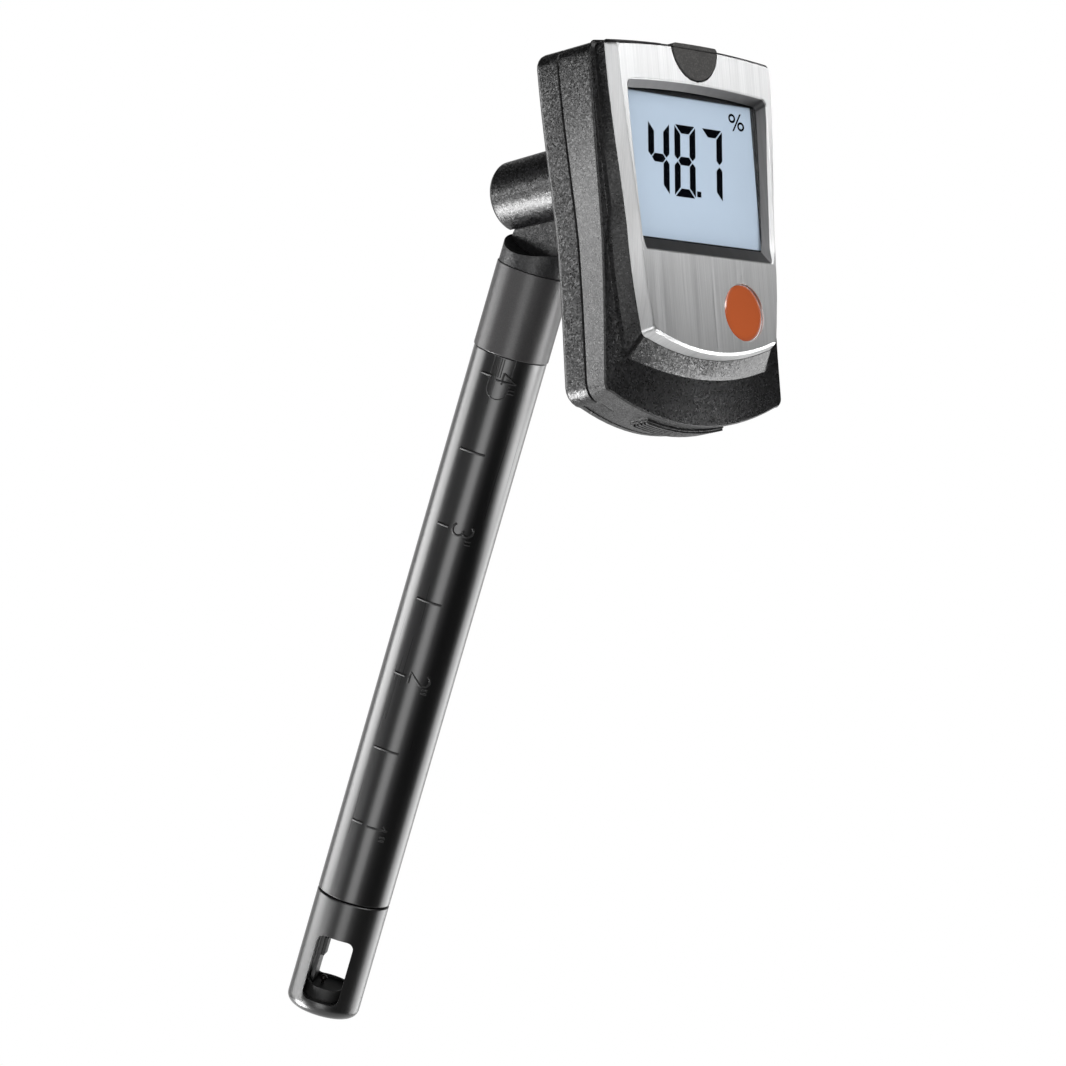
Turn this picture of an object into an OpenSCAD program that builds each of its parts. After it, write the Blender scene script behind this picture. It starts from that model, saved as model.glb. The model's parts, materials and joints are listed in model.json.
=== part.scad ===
// Thermo-hygrometer: a display head on a swivelling probe.
// The probe stands along Z with its sensor tip at the origin. The head is drawn in its own frame,
// with X to the right, Y back from the display face and Z up from the axis of its rear boss,
// and is then swung back about the hinge pin.

/* [Probe] */
// Outer diameter of the probe tube
probe_d = 12; // [11:0.5:14]
// Wall of the probe tube
probe_wall = 1.35; // [1.2:0.05:1.6]
// Height of the joint between cap and tube, from the tip
cap_joint_z = 20; // [19:0.5:24]
// Distance from the last mark to the upper end of the marked tube
tube_past_mark = 3.4; // [3:0.2:5]
// Length of the plain sleeve above the marked tube
sleeve_len = 14; // [12:1:18]
// How far the plain sleeve stands proud of the tube
sleeve_step = 0.16; // [0.16:0.02:0.3]
// Gap between the cap and the tube
joint_gap = 0.2; // [0.15:0.05:0.3]
// Chamfer of the cap's and the tube's edges at that gap
joint_chamfer = 0.16; // [0.16:0.02:0.3]
// Distance from the top of the sleeve to the hinge pin
pin_above_sleeve = 14; // [13.5:0.5:18]
// Height of the sensing point, the zero of the scale
datum_z = 8; // [8:0.5:9]
// Distance between whole marks of the scale
mark_pitch = 25.4; // [24:0.1:25.4]
// Number of half marks on the scale
half_marks = 6; // [4:1:6]
// Height of a scale mark above the tube
mark_proud = 0.03; // [0.02:0.01:0.06]
// Width of a scale mark
mark_w = 0.5; // [0.4:0.1:0.8]
// Arc that a scale mark covers
mark_arc = 40; // [30:5:60]

/* [Tip] */
// Width of a vent in the cap
vent_w = 6.1; // [5.9:0.1:6.4]
// Length of a vent
vent_len = 11; // [10.6:0.2:11.4]
// Corner radius of a vent
vent_corner = 1.2; // [0.8:0.1:1.3]
// Direction of the near vent, turned from the left towards the front
vent_turn = 35; // [30:1:40]
// Thickness of the cap's end
cap_floor = 1.6; // [1.2:0.1:1.8]
// Corner radius of the cap's end
cap_round = 1.6; // [1:0.1:2]
// Running clearance between cap and sensor holder
cap_gap = 0.08; // [0.05:0.01:0.1]
// Wall of the sensor holder
holder_wall = 0.7; // [0.6:0.05:0.8]
// Length of the sensor holder inside the tube
holder_in_tube = 18; // [14:1:24]
// Height of the holder's solid foot, above which one sees through the vents
holder_foot_z = 4.6; // [4.4:0.1:5.2]

/* [Head] */
// Half width of the head at its top
head_half_top = 19.6; // [19:0.1:20.5]
// Half width of the head at its waist
head_half_waist = 18; // [18:0.1:18.6]
// Half width of the head at the bottom of its back
head_half_bottom = 18.8; // [18.6:0.1:19.2]
// Half width of the head's flared chin
chin_half = 20.5; // [19.4:0.1:20.6]
// Height of the head's top above the boss axis
head_top = 16.6; // [16.4:0.1:17.4]
// Depth of the head's bottom below the boss axis
head_bottom = 42.7; // [42.5:0.1:44]
// Depth of the head from display face to back
head_depth = 15.8; // [15.6:0.1:16.5]
// Depth at which the two shells meet
parting_y = 10.8; // [10.6:0.1:11]
// Wall of the shells
shell_wall = 1.6; // [1.4:0.1:1.8]
// Angle between the probe and the head's height at rest
head_tilt = 28; // [0:1:60]

/* [Hinge] */
// Distance from the display face to the hinge pin
pin_back = 30.2; // [30:0.2:33]
// Radius of the boss at its free end
boss_r = 5.8; // [5.6:0.05:6]
// Radius of the boss at the housing
boss_root_r = 6.3; // [6.1:0.1:6.6]
// Drop of the boss axis below the pin
boss_drop = 0.25; // [0:0.05:0.4]
// Length of the boss beyond the pin
boss_past_pin = 10.1; // [9.8:0.1:10.4]
// Thickness of the tongue on the probe
tongue_t = 3.4; // [3:0.1:3.8]
// Half width of the tongue
tongue_r = 3.4; // [3.2:0.1:3.5]
// Half width of the tongue where it meets the saddle
tongue_foot = 5.3; // [4.8:0.1:5.4]
// Radius of the hinge pin
pin_r = 1.25; // [1:0.05:1.4]
// Running clearance of the pin in the tongue
pin_gap = 0.05; // [0.02:0.01:0.1]
// Thickness of a friction washer
washer_t = 0.2; // [0.1:0.05:0.25]

/* [Face] */
// Depth of the metal faceplate
plate_t = 2; // [1.8:0.1:2.1]
// Half width of the plate's foot at the top
plate_half_top = 18.5; // [18:0.1:18.7]
// Half width of the plate's foot at the bottom
plate_half_bottom = 14.9; // [14.7:0.1:15.4]
// How far the plate's sides lean in
plate_lean = 1; // [0.8:0.1:1.1]
// Half width of the display window at its top
window_half_top = 16.2; // [16:0.1:16.3]
// Half width of the display window at its bottom
window_half_bottom = 14.6; // [14.4:0.1:14.8]
// Height of the window's top edge
window_top = 9.4; // [9.2:0.1:9.5]
// Depth of the window's bottom edge
window_bottom = 17.2; // [16.8:0.1:17.4]
// Depth of the window's sloping sides
window_depth = 1.4; // [1.2:0.1:1.5]
// Radius of the round badge
badge_r = 4.5; // [4:0.1:4.8]
// Half width of the key
key_half = 5.2; // [4.8:0.1:5.4]
// Gap round the key
key_gap = 0.25; // [0.2:0.05:0.35]
// Travel of the key
key_travel = 0.6; // [0.4:0.1:0.6]

/* [Battery] */
// Diameter of a button cell
cell_d = 11.6; // [11.4:0.1:11.8]
// Thickness of a button cell
cell_t = 5.4; // [5.2:0.1:5.5]
// Half width of the battery drawer
drawer_half = 12.7; // [12.6:0.1:12.9]
// Height of the drawer's grip below the head
grip_h = 0.7; // [0.5:0.1:0.8]
// Number of ribs on the grip
grip_ribs = 5; // [3:1:6]
// Sliding clearance of the drawer
drawer_gap = 0.15; // [0.1:0.05:0.2]

/* [Hidden] */
$fn = 64;
eps = 0.01;
far = 60;
seat = 0.02;

probe_r = probe_d / 2;
tube_bore_r = probe_r - probe_wall;
holder_r = tube_bore_r - 0.03;
cap_bore_r = holder_r + cap_gap;
spigot_r = tube_bore_r + 0.35;
spigot_len = 5.5;
tube_top_z = datum_z + mark_pitch * (half_marks / 2 + 1) + tube_past_mark;
sleeve_top_z = tube_top_z + sleeve_len;
pivot_z = sleeve_top_z + pin_above_sleeve;
holder_base_z = cap_floor + 0.2;
holder_top_z = cap_joint_z + holder_in_tube;
vent_low_z = datum_z - vent_len / 2;
snap_z = (vent_low_z + vent_len + cap_joint_z) / 2;
board_n = -2.6;
board_t = 0.6;
board_w = 4;
board_foot_z = holder_foot_z - 2.2;
lead_r = 0.35;
lead_orbit = 0.75;
lead_bore_r = lead_orbit + lead_r + 0.2;
mark_start = 188;

// The saddle in the collar clears the boss's end as the head swings.
boss_dome = 0.95;
collar_below_pin = 5;
boss_edge = 0.35;
saddle_r = sqrt(pow(boss_past_pin, 2) + pow(boss_r - boss_edge + boss_drop, 2)) + 0.1;
slot_half = tongue_t / 2 + washer_t + 0.1;
slot_roof = tongue_r + 0.8;
slot_front = tongue_r + 1.6;
shoulder_z = pivot_z - saddle_r + 1.7;
pin_blind_x = -4.15;
pin_out_x = 5.2;
lead_channel_r = 1.6;

head_mid = -14;
shell_corner = 3;
crest_half = 19.7;
crest_corner = 1.3;
crest_drop = 1.4;
crest_edge = 0.15;
chin_crown = 4.8;
lip_y = 3.2;
lip_bow = 1.5;
seam_chamfer = 0.3;
plate_top = head_top - 0.2;
plate_bottom = 32.9;
front_wall_y = 3.6;
crest_y = 4.3;
ledge_y = 6.2;
back_round = 1;

lens_t = plate_t - window_depth;
lens_border = 1;
lcd_front = plate_t + 0.3;
lcd_t = 1.8;
lcd_half = 14.9;
lcd_top = 8.7;
lcd_bottom = 15.1;
frame_border = 1.3;
frame_depth = 2.5;
fit_gap = 0.1;
board_y = 6;
pcb_t = 1;
pcb_half = 12.7;
pcb_top = 14;
pcb_bottom = 31;
elastomer_h = 2;
chip_w = 8;

key_top = 16.2;
key_tip = 10.6;
key_proud = 0.2;
flange_y = front_wall_y + 0.1;
flange_t = 0.4;
flange_half = 5.9;
flange_low = 10.2;
flange_high = 14.4;
plunger_r = 0.8;
plunger_z = 12.4;
switch_h = 0.8;

screw_r = 1;
screw_head_r = 1.9;
screw_head_t = 1.2;
post_r = 2.2;
front_post_r = 1.9;
screw_spots = [[-15.1, 12.3], [15.1, 12.3], [-15.3, -33.2], [15.3, -33.2]];

drawer_back = head_depth - shell_wall - 0.1;
drawer_front = board_y + pcb_t + 0.35;
cell_back = drawer_front + cell_t;
cell_r = cell_d / 2;
cell_pitch = cell_r + 0.15;
cell_low_z = -35.2;
cell_high_z = cell_low_z + sqrt(pow(2 * cell_pitch, 2) - pow(cell_pitch, 2));
drawer_top_z = cell_high_z + cell_r + 0.9;
grip_half = 8.7;
grip_depth = 3.6;
lid_half = 16.2;
lid_top_z = -38.2;
badge_at = [6.9, -25.3];
badge_t = 0.6;
badge_sunk = 0.4;
contact_t = 0.25;
contact_len = 6;
contact_half = 1.2;
rail_t = 1.2;

function side_half(z, top, waist, bottom, z_top, z_bottom) =
    z > head_mid
    ? waist + (top - waist) * pow(sin(90 * (z - head_mid) / (z_top - head_mid)), 1.3)
    : waist + (bottom - waist) * pow((z - head_mid) / (z_bottom - head_mid), 2);

// Half of an outline, from the middle of the top to the middle of the bottom. Each half has the
// same number of points, so that outlines at two depths can be joined by a skin.
crown_steps = 8;
corner_steps = 5;
side_steps = 14;

function half_outline(top, waist, bottom, z_top, z_bottom, crown_top, crown_bottom, r_top, r_bottom) =
    let (corner_top = z_top - crown_top, corner_bottom = z_bottom + crown_bottom,
        w_top = side_half(corner_top - r_top, top, waist, bottom, corner_top, corner_bottom),
        w_bottom = side_half(corner_bottom + r_bottom, top, waist, bottom, corner_top, corner_bottom))
    concat(
        [for (i = [0:crown_steps]) let (x = (w_top - r_top) * i / crown_steps)
            [x, z_top - crown_top * pow(x / w_top, 2)]],
        [for (i = [1:corner_steps]) let (a = 90 - 90 * i / corner_steps)
            [w_top - r_top + r_top * cos(a),
             z_top - crown_top * pow((w_top - r_top) / w_top, 2) - r_top + r_top * sin(a)]],
        [for (i = [1:side_steps - 1])
            let (z = corner_top - r_top + (corner_bottom + r_bottom - corner_top + r_top) * i / side_steps)
            [side_half(z, top, waist, bottom, corner_top, corner_bottom), z]],
        [for (i = [0:corner_steps]) let (a = -90 * i / corner_steps)
            [w_bottom - r_bottom + r_bottom * cos(a),
             z_bottom + crown_bottom * pow((w_bottom - r_bottom) / w_bottom, 2) + r_bottom
                 + r_bottom * sin(a)]],
        [for (i = [1:crown_steps]) let (x = (w_bottom - r_bottom) * (1 - i / crown_steps))
            [x, z_bottom + crown_bottom * pow(x / w_bottom, 2)]]);

function whole_outline(half) =
    concat(half, [for (i = [len(half) - 2:-1:1]) [-half[i][0], half[i][1]]]);

function shell_outline(inset) = whole_outline(half_outline(
    head_half_top - inset, head_half_waist - inset, head_half_bottom - inset,
    head_top - inset, -head_bottom + inset, 1, chin_crown,
    max(1.6, 2.4 - inset), max(1, shell_corner - inset)));

// The crest is the sharp front edge of the side band. It flares out towards the chin.
function crest_outline(inset) = whole_outline(half_outline(
    head_half_top + 0.1 - inset, crest_half - inset, chin_half - inset,
    head_top - inset, -head_bottom + inset, 1, chin_crown, 2.4, crest_corner));
function crest_ring(inset, back) = [for (p = crest_outline(inset))
    [p[0], crest_y + back + crest_drop * max(0, head_mid - p[1]) / (head_bottom + head_mid), p[1]]];

// The raised block under the plate keeps the band's width at the top and narrows to the chin.
block_bottom = 35.4;
block_half_waist = 17.8;
block_half_bottom = 16.4;
function block_outline(inset) = whole_outline(half_outline(
    head_half_top - 0.6 - inset, block_half_waist - inset, block_half_bottom - inset,
    head_top - 0.1 - inset, -block_bottom + inset, 1, 2.9, 1.2, 1.6));
function lip_ring(inset, back) = [for (p = block_outline(inset))
    [p[0], lip_y + back + lip_bow * pow(p[0] / head_half_top, 2) * (p[1] < head_mid ? 1 : 0.5),
     p[1]]];

function plate_outline(inset, drop) = whole_outline(half_outline(
    plate_half_top - inset, (plate_half_top + plate_half_bottom) / 2 - 0.2 - inset,
    plate_half_bottom - inset, plate_top - drop, -plate_bottom + drop, 0.9, 2.9, 0.8, 1.2));

function window_outline(top_half, bottom_half, top, bottom, r) = whole_outline(half_outline(
    top_half, (top_half + bottom_half) / 2, bottom_half, top + 0.7, -bottom, 0.7, 0.05, r, 0.4));

function at_depth(outline, y) = [for (p = outline) [p[0], y, p[1]]];
function same_outline(p, q) = [for (v = p) [v[0], v[2]]] == [for (v = q) [v[0], v[2]]];

// A closed skin through rings of points that lie one behind the other.
module skin(rings) {
    n = len(rings[0]);
    m = len(rings);
    sides = [for (k = [0:m - 2])
        let (flat = same_outline(rings[k], rings[k + 1]))
        for (i = [0:n - 1]) for (half = [0, 1])
            let (a = k * n + i, b = k * n + (i + 1) % n)
            if (half == 0 || !flat)
                flat ? [a, a + n, b + n, b]
                : i < n / 2 ? (half == 0 ? [a, b + n, b] : [a, a + n, b + n])
                : (half == 0 ? [a, a + n, b] : [b, a + n, b + n])];
    ends = [[for (i = [0:n - 1]) i], [for (i = [n - 1:-1:0]) (m - 1) * n + i]];
    polyhedron([for (ring = rings) for (p = ring) p], concat(sides, ends), convexity = 8);
}

// An outline drawn in X and Z, extruded back from one depth to another.
module slab(outline, y0, y1) {
    translate([0, y1, 0]) rotate([90, 0, 0]) linear_extrude(y1 - y0) polygon(outline);
}

module block(x0, x1, y0, y1, z0, z1) {
    translate([x0, y0, z0]) cube([x1 - x0, y1 - y0, z1 - z0]);
}

module along_x(r, x0, x1) {
    translate([x0, 0, 0]) rotate([0, 90, 0]) cylinder(r = r, h = x1 - x0);
}

module along_y(r, y0, y1, x = 0, z = 0, r2 = -1) {
    translate([x, y0, z]) rotate([-90, 0, 0]) cylinder(r1 = r, r2 = r2 < 0 ? r : r2, h = y1 - y0);
}

// Puts a piece drawn in the head's frame where the head is at rest.
module in_head() {
    translate([0, 0, pivot_z]) rotate([-head_tilt, 0, 0]) translate([0, -pin_back, 0]) children();
}

module facing_vent() {
    rotate([0, 0, 180 + vent_turn]) children();
}

module ring(r_out, r_in, z0, z1) {
    difference() {
        translate([0, 0, z0]) cylinder(r = r_out, h = z1 - z0);
        translate([0, 0, z0 - 1]) cylinder(r = r_in, h = z1 - z0 + 2);
    }
}

// Through cutter for both vents, with rounded corners.
module vent_cut(low_z, high_z) {
    w = vent_w / 2;
    facing_vent() {
        block(-probe_d, probe_d, -w, w, low_z + vent_corner, high_z - vent_corner);
        block(-probe_d, probe_d, -w + vent_corner, w - vent_corner, low_z, high_z);
        for (y = [-w + vent_corner, w - vent_corner])
            for (z = [low_z + vent_corner, high_z - vent_corner])
                translate([0, y, z]) along_x(vent_corner, -probe_d, probe_d);
    }
}

module scale_mark(z) {
    translate([0, 0, z - mark_w / 2]) rotate([0, 0, mark_start])
        rotate_extrude(angle = mark_arc)
            translate([probe_r - 0.3, 0]) square([0.3 + mark_proud, mark_w]);
}

module shaft_tube() {
    color("#1b1b1c") {
        difference() {
            union() {
                translate([0, 0, cap_joint_z])
                    cylinder(r1 = probe_r - joint_chamfer, r2 = probe_r, h = joint_chamfer);
                translate([0, 0, cap_joint_z + joint_chamfer])
                    cylinder(r = probe_r, h = tube_top_z - cap_joint_z - joint_chamfer);
                translate([0, 0, tube_top_z - 1]) cylinder(r = spigot_r, h = spigot_len + 1);
            }
            translate([0, 0, cap_joint_z - 1]) cylinder(r = tube_bore_r, h = far * 3);
        }
        for (i = [2:half_marks + 2]) scale_mark(datum_z + mark_pitch * i / 2);
    }
}

module collar_sleeve() {
    color("#4c4a4b") ring(probe_r + sleeve_step, spigot_r + seat, tube_top_z, sleeve_top_z);
}

// The tongue's neck widens from the pin down to the saddle.
module tongue_neck() {
    foot_z = sleeve_top_z + 0.5;
    translate([-tongue_t / 2, 0, 0]) rotate([90, 0, 90]) linear_extrude(tongue_t)
        polygon([[-tongue_foot, foot_z], [tongue_foot, foot_z], [tongue_foot, shoulder_z],
            [tongue_r, pivot_z], [-tongue_r, pivot_z], [-tongue_foot, shoulder_z]]);
}

module hinge_collar() {
    color("#232324") difference() {
        union() {
            difference() {
                union() {
                    translate([0, 0, sleeve_top_z])
                        cylinder(r = probe_r, h = pin_above_sleeve - collar_below_pin);
                    translate([0, 0, sleeve_top_z - spigot_len])
                        cylinder(r = spigot_r, h = spigot_len + 1);
                }
                translate([0, 0, pivot_z]) along_x(saddle_r, -probe_d, probe_d);
            }
            tongue_neck();
            translate([0, 0, pivot_z]) along_x(tongue_r, -tongue_t / 2, tongue_t / 2);
        }
        translate([0, 0, pivot_z]) along_x(pin_r + pin_gap, -probe_d, probe_d);
        translate([0, 0, sleeve_top_z - spigot_len - 1])
            cylinder(r = lead_bore_r, h = spigot_len + pin_above_sleeve - 2.5);
    }
}

module sensor_holder() {
    color("#121213") difference() {
        translate([0, 0, holder_base_z]) cylinder(r = holder_r, h = holder_top_z - holder_base_z);
        // The inside above the foot is hollow
        translate([0, 0, holder_foot_z - 0.3]) cylinder(r = holder_r - holder_wall, h = far);
        vent_cut(holder_foot_z, vent_low_z + vent_len);
        facing_vent() block(-board_w / 2 - 0.05, board_w / 2 + 0.05,
            board_n - board_t / 2 - 0.05, board_n + board_t / 2 + 0.05, board_foot_z, far);
        translate([0, 0, snap_z - 0.5]) ring(holder_r + 1, holder_r - 0.5, 0, 1);
    }
}

module sensor_board() {
    color("#1f5a3c") facing_vent() block(-board_w / 2, board_w / 2,
        board_n - board_t / 2, board_n + board_t / 2, board_foot_z + 0.05, holder_top_z - 1);
}

module humidity_sensor() {
    color("#c9cbc6") facing_vent() block(-1.4, 1.4,
        board_n + board_t / 2, board_n + board_t / 2 + 0.5, datum_z + 1, datum_z + 4);
}

module temperature_bead() {
    color("#8a5a3a") facing_vent() translate([0.6, -0.9, holder_foot_z + 0.65]) {
        sphere(r = 0.55, $fn = 24);
        translate([0, 0, -0.95]) cylinder(r = 0.25, h = 0.6, $fn = 24);
    }
}

module cap_snap_ring() {
    color("#9a9c9e") ring(cap_bore_r + 0.3, holder_r - 0.4, snap_z - 0.4, snap_z + 0.4);
}

module probe_leads() {
    color("#a8423a") for (a = [90, 210, 330])
        translate([lead_orbit * cos(a), lead_orbit * sin(a), holder_top_z - 4])
            cylinder(r = lead_r, h = pivot_z - 4.5 - holder_top_z + 4, $fn = 24);
}

module protective_cap() {
    color("#1d1d1e") difference() {
        rotate_extrude() union() {
            square([probe_r - cap_round, cap_round + 1]);
            polygon([[0, cap_round], [probe_r, cap_round],
                [probe_r, cap_joint_z - joint_gap - joint_chamfer],
                [probe_r - joint_chamfer, cap_joint_z - joint_gap], [0, cap_joint_z - joint_gap]]);
            translate([probe_r - cap_round, cap_round]) circle(r = cap_round);
        }
        translate([0, 0, cap_floor]) cylinder(r = cap_bore_r, h = far);
        translate([0, 0, snap_z - 0.5]) cylinder(r = cap_bore_r + 0.4, h = 1);
        vent_cut(vent_low_z, vent_low_z + vent_len);
    }
}

// Opening through the bottom of both shells for the battery drawer.
module drawer_mouth() {
    block(-drawer_half - drawer_gap, drawer_half + drawer_gap,
        drawer_front - drawer_gap, drawer_back + 0.05, -far, drawer_top_z + 1);
}

// Recess in the rear shell for the wide lid of the drawer.
module lid_recess() {
    block(-lid_half - drawer_gap, lid_half + drawer_gap,
        parting_y - 1, drawer_back + 0.05, -far, lid_top_z + drawer_gap);
}

// The boss is turned, with a low dome on its free end.
module boss() {
    y0 = head_depth - shell_wall + 0.4;
    y1 = pin_back + boss_past_pin;
    translate([0, 0, -boss_drop]) rotate([-90, 0, 0]) rotate_extrude() polygon([[0, y0], [boss_root_r, y0],
        [boss_r, y1 - 0.6], [boss_r - boss_edge, y1], [boss_r - 1.25, y1 + boss_dome * 0.45],
        [boss_r - 2.65, y1 + boss_dome * 0.8], [0, y1 + boss_dome]]);
}

module rear_shell() {
    color("#3a3a3c") difference() {
        union() {
            difference() {
                skin(concat(
                    [at_depth(shell_outline(seam_chamfer), parting_y),
                     at_depth(shell_outline(0), parting_y + seam_chamfer)],
                    [for (a = [0:22.5:90]) at_depth(shell_outline(back_round * (1 - cos(a))),
                        head_depth - back_round * (1 - sin(a)))]));
                slab(shell_outline(shell_wall), parting_y - 1, head_depth - shell_wall);
            }
            boss();
            for (s = screw_spots) along_y(post_r, parting_y, head_depth - 1, s[0], s[1]);
            for (x = [-1, 1])
                block(x * (drawer_half + drawer_gap + rail_t / 2) - rail_t / 2,
                    x * (drawer_half + drawer_gap + rail_t / 2) + rail_t / 2,
                    parting_y, head_depth - 1, -head_bottom + 2.6, drawer_top_z);
        }
        for (s = screw_spots) {
            along_y(screw_r + 0.1, 0, far, s[0], s[1]);
            along_y(screw_head_r + 0.1, head_depth - 0.2 - screw_head_t, far, s[0], s[1]);
        }
        drawer_mouth();
        lid_recess();
        translate([0, pin_back, 0]) {
            block(-slot_half, slot_half, -slot_front, far, -far, slot_roof);
            along_x(pin_r + seat, pin_blind_x, far);
        }
        along_y(lead_channel_r, 0, pin_back);
    }
}

module front_shell() {
    color("#3a3a3c") difference() {
        union() {
            difference() {
                skin([at_depth(plate_outline(-0.1, -0.05), plate_t),
                    lip_ring(0.2, -0.1), lip_ring(-0.3, 0.35),
                    crest_ring(crest_edge, -crest_edge), crest_ring(0, crest_edge),
                    at_depth(shell_outline(0), parting_y - seam_chamfer / 2),
                    at_depth(shell_outline(seam_chamfer / 2), parting_y)]);
                slab(block_outline(shell_wall + 0.2), front_wall_y, parting_y + 1);
                slab(shell_outline(shell_wall), ledge_y + 1, parting_y + 1);
            }
            for (s = screw_spots) along_y(front_post_r, ledge_y + 0.6, parting_y, s[0], s[1]);
        }
        for (s = screw_spots) along_y(screw_r + seat, ledge_y, parting_y + 1, s[0], s[1]);
        block(-lcd_half - frame_border - fit_gap, lcd_half + frame_border + fit_gap,
            plate_t - 1, front_wall_y + 2,
            -lcd_bottom - frame_border - fit_gap, lcd_top + frame_border + fit_gap);
        key_prism(key_gap, plate_t - 1, front_wall_y + 1);
        block(-flange_half - key_gap, flange_half + key_gap, front_wall_y, board_y,
            flange_low - key_gap, flange_high + key_gap);
        drawer_mouth();
    }
}

// The key is half an ellipse that hangs from the plate's top edge.
module key_prism(grow, y0, y1) {
    a = key_half + grow;
    b = key_top - key_tip;
    slab(concat([[a, head_top + (grow > 0 ? 1 : key_top - head_top)],
                 [-a, head_top + (grow > 0 ? 1 : key_top - head_top)]],
        [for (i = [0:12]) [-a * cos(15 * i), key_top - (b + grow) * sin(15 * i)]]), y0, y1);
}

module faceplate() {
    color("#c4c5c8") difference() {
        skin([at_depth(plate_outline(plate_lean, 0.9), 0),
            at_depth(plate_outline(plate_lean * 0.75, 0.5), 0.35),
            at_depth(plate_outline(0, 0), plate_t)]);
        window_funnel();
        slab(window_outline(window_half_top - 0.3, window_half_bottom - 0.3,
            window_top, window_bottom, 0.8), window_depth, far);
        key_prism(key_gap, -1, plate_t + 1);
        along_y(badge_r + 0.05, -1, badge_sunk, badge_at[0], badge_at[1]);
    }
}

// Sloping sides of the window, from the front face down to the lens.
module window_funnel() {
    skin([at_depth(window_outline(window_half_top + 0.08, window_half_bottom + 0.12,
            window_top + 0.08, window_bottom + 0.15, 1.2), -0.1),
        at_depth(window_outline(window_half_top - 1.2, window_half_bottom - 1.8,
            window_top - 1.25, window_bottom - 2.4, 0.8), window_depth + 0.1)]);
}

module window_lens() {
    color([0.85, 0.9, 0.95, 0.35]) slab(window_outline(window_half_top - 0.4,
        window_half_bottom - 0.4, window_top - 0.1, window_bottom - 0.1, 0.8), window_depth, plate_t);
}

module lcd_frame() {
    color("#161617") difference() {
        block(-lcd_half - frame_border, lcd_half + frame_border, plate_t, plate_t + frame_depth,
            -lcd_bottom - frame_border, lcd_top + frame_border);
        block(-lcd_half - 0.05, lcd_half + 0.05, lcd_front - 0.05, far,
            -lcd_bottom - 0.05, lcd_top + 0.05);
        block(-lcd_half + 0.5, lcd_half - 0.5, 0, far, -lcd_bottom + 0.5, lcd_top - 0.5);
    }
}

module lcd_glass() {
    color("#bbcbda") block(-lcd_half, lcd_half, lcd_front, lcd_front + lcd_t,
        -lcd_bottom, lcd_top);
}

module elastomer_strips() {
    color("#5d5a58") for (z = [-lcd_bottom + 0.5, lcd_top - 0.5 - elastomer_h])
        block(-pcb_half + 1, pcb_half - 1, lcd_front + lcd_t, board_y, z, z + elastomer_h);
}

module main_board() {
    color("#1f5a3c") block(-pcb_half, pcb_half, board_y, board_y + pcb_t, -pcb_bottom, pcb_top);
}

module controller_chip() {
    color("#141415") block(-chip_w / 2, chip_w / 2, board_y + pcb_t, board_y + pcb_t + 1,
        3.4, 3.4 + chip_w);
}

module key_switch() {
    color("#8c8f92") difference() {
        block(-1.7, 1.7, board_y - switch_h, board_y, plunger_z - 1.5, plunger_z + 1.5);
        along_y(plunger_r + 0.08, 0, board_y + eps, 0, plunger_z);
    }
}

module lead_connector() {
    color("#e4e2dc") difference() {
        block(-2, 2, board_y + pcb_t, board_y + pcb_t + 3, -1.7, 1.7);
        for (z = [-0.9, 0, 0.9]) along_y(lead_r - 0.05 + seat, board_y + pcb_t + 1, far, 0, z);
    }
}

module head_leads() {
    color("#a8423a") for (z = [-0.9, 0, 0.9])
        along_y(lead_r - 0.05, board_y + pcb_t + 1, pin_back - slot_front - 0.3, 0, z, $fn = 24);
}

module hinge_pin() {
    color("#b9bbbd") translate([0, 0, pivot_z]) along_x(pin_r, pin_blind_x + 0.1, pin_out_x);
}

module friction_washers() {
    color("#c9b37a") translate([0, 0, pivot_z]) for (s = [-1, 1])
        difference() {
            x = s * (slot_half - 0.02 - washer_t / 2);
            along_x(tongue_r - 0.5, x - washer_t / 2, x + washer_t / 2);
            along_x(pin_r + pin_gap, -far, far);
        }
}

module badge_disc() {
    color("#b5462c") {
        along_y(badge_r - 0.1, badge_sunk - badge_t + 0.1, badge_sunk, badge_at[0], badge_at[1]);
        along_y(badge_r - 0.8, badge_sunk - badge_t, badge_sunk, badge_at[0], badge_at[1],
            badge_r - 0.1);
    }
}

module housing_screws() {
    color("#8e9093") for (s = screw_spots) difference() {
        union() {
            along_y(screw_r, ledge_y + 0.2, head_depth - 0.8, s[0], s[1]);
            along_y(screw_head_r, head_depth - 0.2 - screw_head_t, head_depth - 0.3, s[0], s[1]);
        }
        for (turn = [0, 90]) translate([s[0], 0, s[1]]) rotate([0, turn, 0])
            block(-1.3, 1.3, head_depth - 0.9, far, -0.25, 0.25);
    }
}

module battery_contacts() {
    color("#c8b25a") for (c = [[-cell_pitch, cell_low_z], [cell_pitch, cell_low_z], [0, cell_high_z]])
        let (z = max(c[1] - cell_r / 6, -pcb_bottom))
        block(c[0] - contact_half, c[0] + contact_half,
            board_y + pcb_t, board_y + pcb_t + contact_t, z, z + contact_len);
}

module power_key() {
    color("#545352") {
        intersection() {
            key_prism(0, -key_proud, flange_y + eps);
            slab(plate_outline(-0.5, 0.2), -1, far);
        }
        block(-flange_half, flange_half, flange_y, flange_y + flange_t, flange_low, flange_high);
    }
}

module switch_plunger() {
    color("#202021") along_y(plunger_r, flange_y + flange_t, board_y - key_travel - 0.15,
        0, plunger_z);
}

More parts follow.
